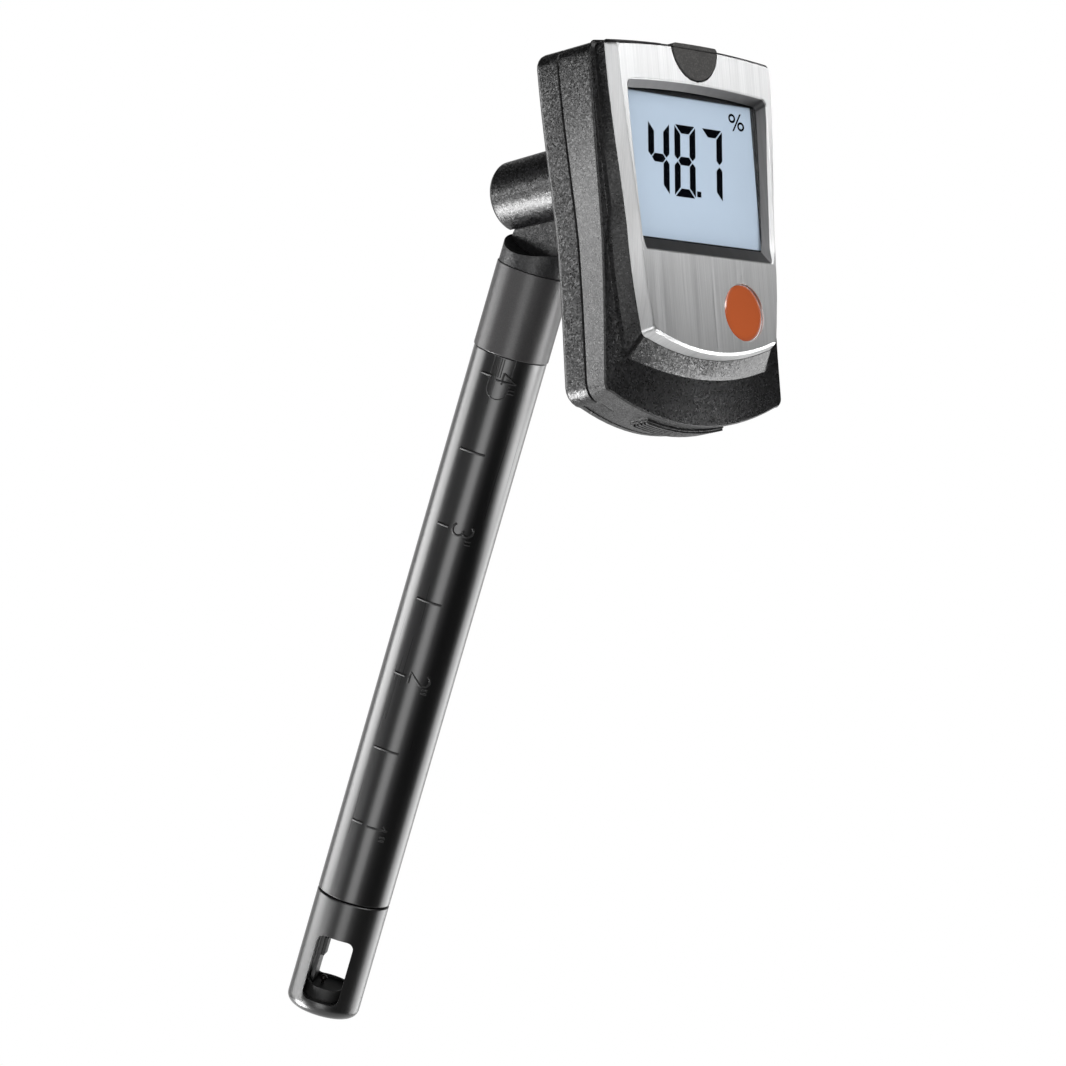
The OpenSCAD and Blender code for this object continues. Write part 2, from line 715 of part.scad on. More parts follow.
module battery_drawer() {
    color("#3a3a3c") {
        difference() {
            intersection() {
                union() {
                    block(-drawer_half, drawer_half, drawer_front, drawer_back,
                        -far, drawer_top_z);
                    block(-lid_half, lid_half, parting_y + drawer_gap, drawer_back,
                        -far, lid_top_z);
                }
                slab(shell_outline(0.1), 0, far);
            }
            for (c = [[-cell_pitch, cell_low_z], [cell_pitch, cell_low_z], [0, cell_high_z]])
                along_y(cell_r + 0.1, 0, cell_back, c[0], c[1]);
        }
        intersection() {
            block(-grip_half, grip_half, drawer_front + 0.3, drawer_front + grip_depth + 0.5,
                -head_bottom - grip_h * 0.5, -head_bottom + 1.5);
            slab(shell_outline(-grip_h * 0.5), 0, far);
        }
        intersection() {
            for (i = [0:grip_ribs - 1])
                let (y = drawer_front + 0.5 + grip_depth / grip_ribs * i)
                block(-grip_half, grip_half, y, y + grip_depth / grip_ribs / 2,
                    -head_bottom - grip_h, -head_bottom + 1.5);
            slab(shell_outline(-grip_h), 0, far);
        }
    }
}

module button_cell(x, z) {
    color("#c6c8ca") {
        along_y(cell_r, drawer_front + 0.8, cell_back, x, z);
        along_y(cell_r - 1, drawer_front + 0.1, drawer_front + 0.8, x, z);
    }
}

module left_cell() { button_cell(-cell_pitch, cell_low_z); }
module right_cell() { button_cell(cell_pitch, cell_low_z); }
module upper_cell() { button_cell(0, cell_high_z); }

shaft_tube();
collar_sleeve();
hinge_collar();
sensor_holder();
sensor_board();
humidity_sensor();
temperature_bead();
cap_snap_ring();
probe_leads();
protective_cap();
in_head() rear_shell();
in_head() front_shell();
in_head() faceplate();
in_head() window_lens();
in_head() lcd_frame();
in_head() lcd_glass();
in_head() elastomer_strips();
in_head() main_board();
in_head() controller_chip();
in_head() key_switch();
in_head() lead_connector();
in_head() head_leads();
hinge_pin();
friction_washers();
in_head() badge_disc();
in_head() housing_screws();
in_head() battery_contacts();
in_head() power_key();
in_head() switch_plunger();
in_head() battery_drawer();
in_head() left_cell();
in_head() right_cell();
in_head() upper_cell();
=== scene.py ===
# %% [markdown]
# # A thermo-hygrometer, from CAD frame to finished picture
# The real object is a pocket meter: a display head that swivels on a black probe with an inch
# scale. Its construction comes from CAD as a fixed frame, in metres, with every piece where it
# belongs. This lesson gives each piece its surface, edges and small relief, and then lights and
# frames it.

# %% Load the CAD frame
import json
import math

import bmesh
import bpy
from mathutils import Matrix, Vector


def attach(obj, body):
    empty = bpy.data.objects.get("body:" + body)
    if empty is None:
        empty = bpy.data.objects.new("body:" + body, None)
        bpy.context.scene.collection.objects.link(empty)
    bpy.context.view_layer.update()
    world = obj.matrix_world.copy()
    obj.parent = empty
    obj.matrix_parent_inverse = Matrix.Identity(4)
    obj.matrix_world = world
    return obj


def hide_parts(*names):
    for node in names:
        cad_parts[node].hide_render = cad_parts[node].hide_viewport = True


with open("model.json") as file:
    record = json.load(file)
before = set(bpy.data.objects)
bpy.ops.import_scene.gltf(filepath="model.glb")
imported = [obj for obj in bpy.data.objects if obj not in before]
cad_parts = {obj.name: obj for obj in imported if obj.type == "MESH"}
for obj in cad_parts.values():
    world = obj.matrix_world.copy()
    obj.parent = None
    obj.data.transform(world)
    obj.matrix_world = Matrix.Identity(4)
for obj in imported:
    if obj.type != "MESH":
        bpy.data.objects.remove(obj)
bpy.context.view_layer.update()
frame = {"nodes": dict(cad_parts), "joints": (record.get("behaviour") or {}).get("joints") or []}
nodes = frame["nodes"]

# %% [markdown]
# ## Two frames of reference
# The probe stands along Z with its tip at the origin. The head leans back on its pin, so a detail
# of the display is far easier to draw in the head's own frame: X right, Y back from the face, Z up.
# One matrix, built from the swivel joint that CAD states, carries such a detail to its place.

# %% Sizes in millimetres and the head's own frame
def mm(size):
    """One length in millimetres as metres."""
    return size / 1000


swivel = next(joint for joint in frame["joints"] if joint["name"] == "head_swivel")
HEAD_TILT = math.radians(28)
PIN_BACK = mm(30.2)
HEAD = (Matrix.Translation(Vector(swivel["pos_m"])) @ Matrix.Rotation(-HEAD_TILT, 4, "X")
        @ Matrix.Translation((0, -PIN_BACK, 0)))


def on_head(x, y, z):
    """A point given in millimetres in the head's frame, as a place in the scene."""
    return HEAD @ Vector((mm(x), mm(y), mm(z)))


print("boss axis meets the face at", [round(v * 1000, 1) for v in on_head(0, 0, 0)])

# %% [markdown]
# ## A small kit for materials
# Every finish is drawn by nodes, so that it has grain and wear at a real scale and no image file.
# One function turns a hex colour, as a picture editor shows it, into the linear numbers that
# Blender works with. Another adds one node with its settings and its links, which keeps each recipe
# short. Each recipe starts from Object coordinates. They are metres in the CAD frame, so a
# pattern's scale is simply one over its real size.

# %% Colour and node helpers
def srgb(code):
    """A hex colour such as #c8c9cb as linear red, green, blue and alpha."""
    parts = [int(code[i:i + 2], 16) / 255 for i in (1, 3, 5)]
    return [c / 12.92 if c <= 0.04045 else ((c + 0.055) / 1.055) ** 2.4 for c in parts] + [1.0]


def add(tree, kind, values=()):
    """Adds one node. A plain value sets an option or a socket. A node or an output is linked to
    the socket, and a node stands for its first output. Shader nodes go by their short name."""
    made = tree.nodes.new(kind if "Node" in kind else "ShaderNode" + kind)
    for key, value in dict(values).items():
        if isinstance(value, (bpy.types.Node, bpy.types.NodeSocket)):
            tree.links.new(getattr(value, "outputs", [value])[0], made.inputs[key])
        elif isinstance(key, str) and hasattr(made, key):
            setattr(made, key, value)
        else:
            made.inputs[key].default_value = value
    return made


def new_finish(name):
    """An empty material, with its node tree and the Object coordinates for its patterns."""
    finish = bpy.data.materials.new(name)
    finish.use_nodes = True
    tree = finish.node_tree
    tree.nodes.clear()
    return finish, tree, add(tree, "TexCoord").outputs["Object"]


def finished(finish, shader):
    """Ends a material in its shader."""
    add(finish.node_tree, "OutputMaterial", {"Surface": shader})
    return finish


def steps_of(ramp, places, tones):
    """Sets a Color Ramp's stops. A tone is a hex colour or a grey level."""
    elements = ramp.color_ramp.elements
    while len(elements) > 1:
        elements.remove(elements[-1])
    for i, (place, tone) in enumerate(zip(places, tones)):
        stop = elements[0] if i == 0 else elements.new(place)
        stop.position = place
        stop.color = srgb(tone) if isinstance(tone, str) else (tone, tone, tone, 1)
    return ramp


print("the middle grey #808080 is", round(srgb("#808080")[0], 3), "in linear light")

# %% [markdown]
# ## Moulded plastics
# The housing is ABS from a spark-eroded mould: thousands of tiny craters, here about 0.2 mm across,
# that break a reflection into a fine sparkle. An even bump from one noise would look like leather.
# A Voronoi texture deals out one random colour to each crater instead. It leans the crater's normal
# its own way, so that a neighbour is dark while it is bright, and it sets its tone.

# %% Spark-eroded ABS
CRATER_MM = 0.2
ABS_IOR = 1.53


def spark_eroded_abs(name, tone, roughness, lean=0.17, edge_mm=0.12):
    """ABS from a spark-eroded mould: each crater leans its own way and has its own tone."""
    finish, tree, at = new_finish(name)
    # Real craters are 0.1 to 0.2 mm wide. They are drawn at the coarse end, so that they show
    craters = add(tree, "TexVoronoi", {"Scale": 1 / mm(CRATER_MM), "Vector": at})
    fine = add(tree, "TexNoise", {"Scale": 1 / mm(CRATER_MM * 0.6), "Vector": at})
    # The Bevel node rounds the corners that the mould leaves, about 0.1 mm
    corner = add(tree, "Bevel", {"Radius": mm(edge_mm)})
    relief = add(tree, "Bump", {"Distance": mm(0.012), "Height": fine, "Normal": corner})
    centred = add(tree, "VectorMath", {
        "operation": "SUBTRACT", 0: craters.outputs["Color"], 1: (0.5, 0.5, 0.5)})
    leaned = add(tree, "VectorMath", {"operation": "SCALE", "Scale": lean, 0: centred})
    joined = add(tree, "VectorMath", {"operation": "ADD", 0: relief, 1: leaned})
    facet = add(tree, "VectorMath", {"operation": "NORMALIZE", 0: joined})
    # Rims polish with handling and pits stay dull, which is half of the sparkle
    lot = add(tree, "SeparateXYZ", {0: craters.outputs["Color"]})
    gloss = add(tree, "MapRange", {
        "To Min": roughness + 0.08, "To Max": roughness - 0.08, "Value": lot.outputs["X"]})
    colour = steps_of(add(tree, "ValToRGB", {"Fac": lot.outputs["Y"]}), (0.25, 0.7, 1.0), tone)
    shader = add(tree, "BsdfPrincipled", {
        "IOR": ABS_IOR, "Base Color": colour, "Roughness": gloss, "Normal": facet})
    return finished(finish, shader)


# The shells and the lid look black with a grey glitter where the light grazes them
housing_abs = spark_eroded_abs("spark-eroded black ABS", ("#030303", "#0b0b0c", "#262628"), 0.34)
lid_abs = spark_eroded_abs("spark-eroded black ABS, battery lid",
                           ("#030303", "#0b0b0c", "#242426"), 0.34)
# The key is a warm grey that hardly glitters, and its edges are worn round
key_abs = spark_eroded_abs("finely eroded grey ABS, key", ("#434241", "#4b4a49", "#5c5b59"), 0.45,
                           lean=0.1, edge_mm=0.3)
# The collar is satin, because its mould was eroded lightly
collar_abs = spark_eroded_abs("satin black ABS, hinge collar",
                              ("#161617", "#1d1d1e", "#2c2c2e"), 0.4, lean=0.14)
print("craters are drawn", CRATER_MM, "mm wide")

# %% [markdown]
# The probe tube and the cap come from a polished mould, so they mirror the room in long stripes
# that waver a little. A clean mirror would look like glass. Two weak noises give the wavering: one
# drawn out along the probe, as the melt flowed, and a fine one like the skin of an orange.

# %% Polished ABS
def polished_abs(name, tone, roughness, coat, waviness_mm=0.012):
    """ABS from a polished mould: near black, with crisp stripes that waver very slightly."""
    finish, tree, at = new_finish(name)
    # Flow lines of the melt run along the probe, some 1.5 mm apart and 40 mm long
    along = add(tree, "Mapping", {"Scale": (1 / mm(1.5), 1 / mm(1.5), 1 / mm(40)), "Vector": at})
    flow = add(tree, "TexNoise", {"Scale": 1.0, "Vector": along})
    peel = add(tree, "TexNoise", {"Scale": 1 / mm(0.3), "Roughness": 0.6, "Vector": at})
    height = add(tree, "Math", {"operation": "MULTIPLY_ADD", 0: peel, 1: 0.35, 2: flow})
    corner = add(tree, "Bevel", {"Radius": mm(0.1)})
    relief = add(tree, "Bump", {
        "Strength": 0.5, "Distance": mm(waviness_mm), "Height": height, "Normal": corner})
    gloss = add(tree, "MapRange", {
        "From Min": 0.3, "From Max": 0.7, "To Min": roughness - 0.03, "To Max": roughness + 0.03,
        "Value": flow})
    shader = add(tree, "BsdfPrincipled", {
        "Base Color": srgb(tone), "IOR": ABS_IOR, "Coat Weight": coat, "Coat Roughness": 0.28,
        "Roughness": gloss, "Normal": relief})
    return finished(finish, shader)


tube_abs = polished_abs("polished black ABS, probe tube", "#070708", 0.3, 0.8)
# The cap is handled most, so its stripes are softer than the tube's
cap_abs = polished_abs("polished black ABS, cap", "#090909", 0.34, 0.7)
# The raised figures come from an engraved, unpolished part of the mould, so they catch no glints
# Their black is a little darker than the tube's: painted shade along the raised marks
mark_abs = polished_abs("satin black ABS, raised marks", "#040404", 0.5, 0.0)
# The holder in the cap has a dull black core, which sets off the light behind the vents
holder_black = polished_abs("black polycarbonate, sensor holder", "#030303", 0.5, 0.0)
print("polished:", tube_abs.name, "|", cap_abs.name)

# %% [markdown]
# The sleeve is glass-filled nylon, turned after moulding: dark grey and satin, with very fine rings
# round it. A noise squeezed along Z draws these rings 0.12 mm apart.

# %% Turned glass-filled nylon
def turned_nylon(name, tone, roughness, ring_mm=0.12):
    """Glass-filled nylon, lightly turned: satin grey with faint rings."""
    finish, tree, at = new_finish(name)
    squeezed = add(tree, "Mapping", {
        "Scale": (1 / mm(6), 1 / mm(6), 1 / mm(ring_mm)), "Vector": at})
    rings = add(tree, "TexNoise", {
        "Scale": 1.0, "Detail": 3.0, "Roughness": 0.6, "Vector": squeezed})
    fibre = add(tree, "TexNoise", {"Scale": 1 / mm(0.2), "Vector": at})
    colour = steps_of(add(tree, "ValToRGB", {"Fac": fibre}), (0.3, 0.7), tone)
    height = add(tree, "Math", {"operation": "MULTIPLY_ADD", 0: fibre, 1: 0.5, 2: rings})
    relief = add(tree, "Bump", {"Strength": 0.4, "Distance": mm(0.01), "Height": height})
    gloss = add(tree, "MapRange", {
        "To Min": roughness - 0.05, "To Max": roughness + 0.05, "Value": rings})
    shader = add(tree, "BsdfPrincipled", {
        "IOR": 1.55, "Base Color": colour, "Roughness": gloss, "Normal": relief})
    return finished(finish, shader)


sleeve_nylon = turned_nylon("turned grey nylon, sleeve", ("#323132", "#3d3c3c"), 0.34)
print("sleeve:", sleeve_nylon.name)

# %% [markdown]
# ## Metals
# The faceplate is aluminium, brushed from top to bottom. Brushing leaves fine parallel scratches,
# about 0.1 mm apart and a few centimetres long, which smear a reflection across their own
# direction. A Mapping node turns the pattern into the head's frame, so that the scratches run with
# the plate and not with the probe. Four limits in the same coordinates find the window's sloping
# sides, whose colour is darkened to a dull grey there as painted shade.

# %% Brushed aluminium
WINDOW_SILL_Z, WINDOW_TALL = -18, 28
# Half the window's width at its sill, and how much that grows for each millimetre upward
WINDOW_HALF, WINDOW_FLARE = 14.62, 0.0602


def brushed_metal(name, tone, roughness, tilt, face_m, sill_m, scratch_mm=0.11, run_mm=22,
                  depth_mm=0.004):
    """Aluminium brushed along the head: pale, with fine streaks."""
    finish, tree, at = new_finish(name)
    in_head = add(tree, "Mapping", {"Rotation": (tilt, 0, 0), "Vector": at})
    squeezed = add(tree, "Mapping", {
        "Scale": (1 / mm(scratch_mm), 1 / mm(3), 1 / mm(run_mm)), "Vector": in_head})
    streaks = add(tree, "TexNoise", {
        "Scale": 1.0, "Detail": 4.0, "Roughness": 0.7, "Vector": squeezed})
    broad = add(tree, "Mapping", {
        "Scale": (1 / mm(1.4), 1 / mm(20), 1 / mm(60)), "Vector": in_head})
    bands = add(tree, "TexNoise", {"Scale": 1.0, "Vector": broad})
    colour = steps_of(add(tree, "ValToRGB", {"Fac": streaks}), (0.25, 0.75), tone)
    banded = add(tree, "Mix", {
        "data_type": "RGBA", "blend_type": "MULTIPLY", 0: 0.25, 6: colour, 7: bands})
    # Painted shade on the window's sides, found behind the face, between the sloping edges, above
    # the sill and below the top
    axes = add(tree, "SeparateXYZ", {0: in_head})
    behind_face = add(tree, "MapRange", {
        "From Min": face_m + mm(0.1), "From Max": face_m + mm(0.22), "Value": axes.outputs["Y"]})
    sideways = add(tree, "Math", {"operation": "ABSOLUTE", 0: axes.outputs["X"]})
    edge = add(tree, "Math", {
        "operation": "MULTIPLY_ADD", 0: axes.outputs["Z"], 1: WINDOW_FLARE,
        2: mm(WINDOW_HALF) - WINDOW_FLARE * sill_m})
    between = add(tree, "Math", {"operation": "LESS_THAN", 0: sideways, 1: edge})
    above = add(tree, "Math", {"operation": "GREATER_THAN", 0: axes.outputs["Z"], 1: sill_m})
    below = add(tree, "Math", {
        "operation": "LESS_THAN", 0: axes.outputs["Z"], 1: sill_m + mm(WINDOW_TALL)})
    window_shade_mask = behind_face
    for limit in (between, above, below):
        window_shade_mask = add(tree, "Math", {"operation": "MULTIPLY", 0: window_shade_mask, 1: limit})
    # Painted shade: there the colour is multiplied by a mid grey, about a fifth in linear light
    window_side_shade = add(tree, "Mix", {
        "data_type": "RGBA", "blend_type": "MULTIPLY", 0: window_shade_mask, 6: banded.outputs[2],
        7: srgb("#7c7c7d")})
    gloss = add(tree, "MapRange", {
        "From Min": 0.3, "From Max": 0.7, "To Min": roughness - 0.06, "To Max": roughness + 0.06,
        "Value": streaks})
    corner = add(tree, "Bevel", {"Radius": mm(0.08)})
    relief = add(tree, "Bump", {
        "Strength": 0.6, "Distance": mm(depth_mm), "Height": streaks, "Normal": corner})
    # Scratches smear light across themselves: the tangent is the head's own width
    across = add(tree, "CombineXYZ", {"X": 1.0})
    shader = add(tree, "BsdfPrincipled", {
        "Metallic": 1.0, "Anisotropic": 0.95, "Base Color": window_side_shade.outputs[2], "Roughness": gloss,
        "Normal": relief, "Tangent": across})
    return finished(finish, shader)


upright = Matrix.Rotation(HEAD_TILT, 3, "X")
face_at, sill_at = upright @ on_head(0, 0, 0), upright @ on_head(0, 0, WINDOW_SILL_Z)
print("in turned coordinates the face is at", round(face_at.y * 1000, 2), "mm and the sill at",
      round(sill_at.z * 1000, 2), "mm")
plate_aluminium = brushed_metal("brushed aluminium, faceplate", ("#cfd0d1", "#f4f4f4"), 0.36,
                                HEAD_TILT, face_at.y, sill_at.z)

# %% [markdown]
# The small metal parts are turned or stamped and then plated. They are bright, but tool marks a
# quarter of a millimetre apart and a slow change of tone keep them from looking like mirrors. One
# recipe serves them all, with each metal's own colour.

# %% Plated and turned metals
def plated_metal(name, tone, roughness, mark_mm=0.25):
    """Small turned or stamped metal with a plated skin and faint tool marks."""
    finish, tree, at = new_finish(name)
    marks = add(tree, "TexNoise", {"Scale": 1 / mm(mark_mm), "Detail": 3.0, "Vector": at})
    stain = add(tree, "TexNoise", {"Scale": 1 / mm(2.5), "Vector": at})
    colour = steps_of(add(tree, "ValToRGB", {"Fac": stain}), (0.35, 0.65), tone)
    gloss = add(tree, "MapRange", {
        "To Min": roughness - 0.08, "To Max": roughness + 0.08, "Value": marks})
    corner = add(tree, "Bevel", {"Radius": mm(0.08)})
    relief = add(tree, "Bump", {
        "Strength": 0.4, "Distance": mm(0.005), "Height": marks, "Normal": corner})
    shader = add(tree, "BsdfPrincipled", {
        "Metallic": 1.0, "Base Color": colour, "Roughness": gloss, "Normal": relief})
    return finished(finish, shader)


# Zinc and spring steel look cool and dull, ground steel and nickel bright, brass and bronze warm
screw_steel = plated_metal("zinc-plated steel, screws", ("#8b8c8e", "#a9aaac"), 0.34)
pin_steel = plated_metal("ground stainless steel, hinge pin", ("#b4b5b7", "#c9cacb"), 0.24)
cell_steel = plated_metal("nickel-plated steel, button cells", ("#bcbdbd", "#d4d4d3"), 0.26)
contact_brass = plated_metal("sprung brass, contacts", ("#b8953f", "#d6b65c"), 0.3)
washer_bronze = plated_metal("phosphor bronze, washers", ("#b98a4e", "#cfa468"), 0.34)
spring_steel = plated_metal("spring steel wire, snap ring", ("#8c8e91", "#a2a4a7"), 0.3)
print(len(bpy.data.materials), "materials so far")

# %% [markdown]
# ## Window, display and badge
# The window is clear acrylic. Light on its way through it to the display would cost many samples as
# refraction, so shadow and diffuse rays see plain transparency. The camera sees real acrylic.

# %% Clear acrylic
def clear_acrylic(name):
    """Polished acrylic sheet: clear, with a faint reflection of the room."""
    finish, tree, at = new_finish(name)
    ripple = add(tree, "TexNoise", {"Scale": 1 / mm(6), "Detail": 1.0, "Vector": at})
    relief = add(tree, "Bump", {"Strength": 0.15, "Distance": mm(0.003), "Height": ripple})
    clear = add(tree, "BsdfPrincipled", {
        "Base Color": srgb("#fbfcfd"), "Roughness": 0.03, "IOR": 1.49, "Transmission Weight": 1.0,
        "Normal": relief})
    through = add(tree, "BsdfTransparent", {"Color": srgb("#f6f8fa")})
    ray = add(tree, "LightPath")
    pick = add(tree, "Math", {
        "operation": "MAXIMUM", 0: ray.outputs["Is Shadow Ray"], 1: ray.outputs["Is Diffuse Ray"]})
    shader = add(tree, "MixShader", {0: pick, 1: clear, 2: through})
    return finished(finish, shader)


window_acrylic = clear_acrylic("clear polished acrylic, window")
print("window:", window_acrylic.name)

# %% [markdown]
# The display is a reflective liquid crystal: a pale blue-grey field behind glass, with segments
# that turn opaque. It needs no gloss, because the window in front of it has that already.

# %% Reflective display
def display_field(name, tone):
    """The display's reflector behind its glass: an even field with a very fine pearl grain."""
    finish, tree, at = new_finish(name)
    pearl = add(tree, "TexNoise", {"Scale": 1 / mm(0.12), "Vector": at})
    colour = steps_of(add(tree, "ValToRGB", {"Fac": pearl}), (0.3, 0.7), tone)
    shader = add(tree, "BsdfPrincipled", {
        "Roughness": 0.6, "IOR": 1.45, "Specular IOR Level": 0.0, "Base Color": colour})
    return finished(finish, shader)


display_blue = display_field("reflective liquid crystal, field", ("#d2e0ef", "#dae8f6"))
segment_black = display_field("reflective liquid crystal, dark segments", ("#06070b", "#090a0f"))
print("display:", display_blue.name, "|", segment_black.name)

# %% [markdown]
# The badge is vitreous enamel in one plain colour, which has flowed out smooth under a deep gloss.
# The small moulded, dipped and fired pieces inside share its recipe: an even colour whose gloss
# changes a little from place to place, as on any real surface.

# %% Enamel and other smooth skins
def smooth_skin(name, tone, roughness, coat=0.0, grain_mm=0.25):
    """Small moulded, dipped or glazed pieces: an even colour with a trace of unevenness."""
    finish, tree, at = new_finish(name)
    grain = add(tree, "TexNoise", {"Scale": 1 / mm(grain_mm), "Vector": at})
    gloss = add(tree, "MapRange", {
        "To Min": roughness - 0.06, "To Max": roughness + 0.06, "Value": grain})
    corner = add(tree, "Bevel", {"Radius": mm(0.08)})
    relief = add(tree, "Bump", {
        "Strength": 0.4, "Distance": mm(0.003), "Height": grain, "Normal": corner})
    shader = add(tree, "BsdfPrincipled", {
        "Base Color": srgb(tone), "Coat Weight": coat, "Coat Roughness": 0.06, "Roughness": gloss,
        "Normal": relief})
    return finished(finish, shader)


# Enamel looks wet, with a slow ripple from the kiln
badge_enamel = smooth_skin("vitreous enamel, badge", "#b0562f", 0.2, coat=1.0, grain_mm=0.6)
# Moulded black parts look satin, rubber and ceramic dull, and dipped resin like a drop of tar
frame_plastic = smooth_skin("black polycarbonate, display frame", "#111112", 0.45)
chip_epoxy = smooth_skin("moulded epoxy, chip", "#171718", 0.5)
contact_rubber = smooth_skin("striped silicone rubber, contact strips", "#5d5a58", 0.6)
sensor_ceramic = smooth_skin("fired ceramic, sensor", "#3a3b3a", 0.5)
bead_resin = smooth_skin("dipped epoxy, temperature bead", "#17120f", 0.3, coat=0.4)
# Nylon without dye is a milky white, and extruded PVC has a soft sheen along the wire
connector_nylon = smooth_skin("natural nylon, connector", "#e4e2dc", 0.42)
lead_insulation = smooth_skin("extruded PVC, lead insulation", "#a8423a", 0.4)
probe_insulation = smooth_skin("extruded PVC, probe leads", "#141415", 0.4)
print("badge:", badge_enamel.name)

# %% [markdown]
# The boards are glass-epoxy laminate under solder resist, green in the head and black in the probe.
# Copper tracks show through it as slightly paler lines, which a brick pattern with long bricks
# imitates well enough for parts that are seen only through a vent or an open drawer.

# %% Glass-epoxy laminate
def board_laminate(name, tilt, tone):
    """Glass-epoxy board with coloured resist over copper tracks, in bricks of 4.2 by 1.3 mm."""
    finish, tree, at = new_finish(name)
    flat = add(tree, "Mapping", {
        "Rotation": (tilt + math.pi / 2, 0, 0), "Scale": (1 / mm(1), 1 / mm(1), 1 / mm(1)),
        "Vector": at})
    tracks = add(tree, "TexBrick", {
        "Color1": srgb(tone[0]), "Color2": srgb(tone[1]), "Mortar": srgb(tone[2]), "Scale": 1.0,
        "Mortar Size": 0.12, "Brick Width": 4.2, "Row Height": 1.3, "Vector": flat})
    relief = add(tree, "Bump", {
        "Strength": 0.5, "Distance": mm(0.03), "Height": tracks.outputs["Fac"]})
    shader = add(tree, "BsdfPrincipled", {
        "Roughness": 0.35, "IOR": 1.55, "Base Color": tracks.outputs["Color"], "Normal": relief})
    return finished(finish, shader)


main_laminate = board_laminate("green glass-epoxy, main board", HEAD_TILT,
                               ("#1c5536", "#1f5d3c", "#3b8058"))
sensor_laminate = board_laminate("black glass-epoxy, sensor board", 0.0,
                                 ("#0d0e0e", "#101111", "#1c1e1e"))
print(len(bpy.data.materials), "materials in all")

# %% [markdown]
# ## A small kit for meshes
# A CAD mesh is loose triangles with hard corners. For a surface that catches light, a copy is
# merged, its flat faces are joined, its sharp edges get a narrow bevel, and its normals are
# weighted by area, so that broad faces stay flat while the bevels turn the light. The CAD node
# itself is never touched: the finished copy rides on the same body and stands for it.

# %% Objects, pieces and plain meshes
def new_object(name, data):
    """Puts mesh, curve, lamp or camera data into the scene as an object."""
    thing = bpy.data.objects.new(name, data)
    bpy.context.scene.collection.objects.link(thing)
    return thing


def from_bmesh(work, name):
    """The object that a bmesh describes."""
    mesh = bpy.data.meshes.new(name)
    work.to_mesh(mesh)
    work.free()
    return new_object(name, mesh)


def place_piece(piece, body, slot, finish, *replaced):
    """Hands a finished piece to the frame: body, material and the nodes it stands for.
    The slot is not used.
    """
    piece.data.materials.clear()
    piece.data.materials.append(finish)
    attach(piece, body)
    if replaced:
        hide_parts(*replaced)
    print(f"{piece.name}: {len(piece.data.polygons)} faces on {body}")


def baked(piece):
    """The plain mesh that a piece shows."""
    seen = piece.evaluated_get(bpy.context.evaluated_depsgraph_get())
    return bpy.data.meshes.new_from_object(seen)


def make_plain(piece):
    """Turns a piece and its modifiers into one plain mesh."""
    plain = baked(piece)
    piece.modifiers.clear()
    piece.data = plain


def smooth_up_to(mesh, degrees):
    """Shades a mesh smooth, except across edges sharper than the angle."""
    mesh.shade_smooth()
    mesh.set_sharp_from_angle(angle=math.radians(degrees))


def settle(piece, smooth_degrees=30):
    """One plain mesh from a piece and its modifiers, smooth up to an angle."""
    make_plain(piece)
    smooth_up_to(piece.data, smooth_degrees)
    return piece


print("the CAD nodes have", sum(len(node.data.polygons) for node in nodes.values()), "triangles")

# %% Bevels, weighted normals and copies of CAD nodes
def weighted(piece, smooth_degrees=30):
    """Weights the normals by area, so that wide faces stay flat next to narrow bevels."""
    smooth_up_to(piece.data, smooth_degrees)
    weigh = piece.modifiers.new("weigh", "WEIGHTED_NORMAL")
    weigh.keep_sharp = True
    weigh.weight = 80
    make_plain(piece)


def soften(piece, width_mm, angle=32, segments=2):
    """A narrow bevel along every edge sharper than the angle."""
    round_off = piece.modifiers.new("round off", "BEVEL")
    round_off.limit_method = "ANGLE"
    round_off.angle_limit = math.radians(angle)
    round_off.width = mm(width_mm)
    round_off.segments = segments
    round_off.use_clamp_overlap = True
    settle(piece)


def merged_copy(node, name, join_flats=True):
    """A welded copy of a CAD node's mesh, with its flat faces joined."""
    source = nodes[node].data
    mesh = bpy.data.meshes.new(name)
    mesh.from_pydata([v.co for v in source.vertices], [], [p.vertices for p in source.polygons])
    work = bmesh.new()
    work.from_mesh(mesh)
    bmesh.ops.remove_doubles(work, verts=work.verts, dist=mm(0.002))
    if join_flats:
        bmesh.ops.dissolve_limit(work, angle_limit=math.radians(0.3), verts=work.verts,
                                 edges=work.edges, use_dissolve_boundaries=False)
    work.to_mesh(mesh)
    work.free()
    return new_object(name, mesh)


def stand_in(node, name, body, slot, finish, smooth, bevel_mm=0, bevel_angle=32, join_flats=True):
    """Puts a softened copy of a CAD node in the node's place."""
    piece = merged_copy(node, name, join_flats)
    if bevel_mm:
        soften(piece, bevel_mm, bevel_angle)
    weighted(piece, smooth)
    place_piece(piece, body, slot, finish, node)


# %% [markdown]
# A round piece is turned on a lathe from its profile, as the real one's mould was. That gives it
# clean rows of faces round its axis, where a copy of the CAD mesh would show its facets as breaks
# in the long reflections.

# %% The lathe
def bridge(work, one, other):
    """Faces between two closed rows of corners, triangles where a row is a single point."""
    for i in range(len(one)):
        j = (i + 1) % len(one)
        corners = list(dict.fromkeys((one[i], one[j], other[j], other[i])))
        if len(corners) > 2:
            work.faces.new(corners)


def turned(name, profile, steps=160, closed=True):
    """A piece turned about Z, from a profile of radius and height in millimetres."""
    work = bmesh.new()
    rings = []
    for r, z in profile:
        if r < 1e-6:
            rings.append([work.verts.new((0, 0, mm(z)))] * steps)
        else:
            rings.append([work.verts.new((mm(r) * math.cos(2 * math.pi * i / steps),
                                          mm(r) * math.sin(2 * math.pi * i / steps), mm(z)))
                          for i in range(steps)])
    for low, high in list(zip(rings, rings[1:])) + ([(rings[-1], rings[0])] if closed else []):
        bridge(work, low, high)
    bmesh.ops.recalc_face_normals(work, faces=work.faces)
    return from_bmesh(work, name)


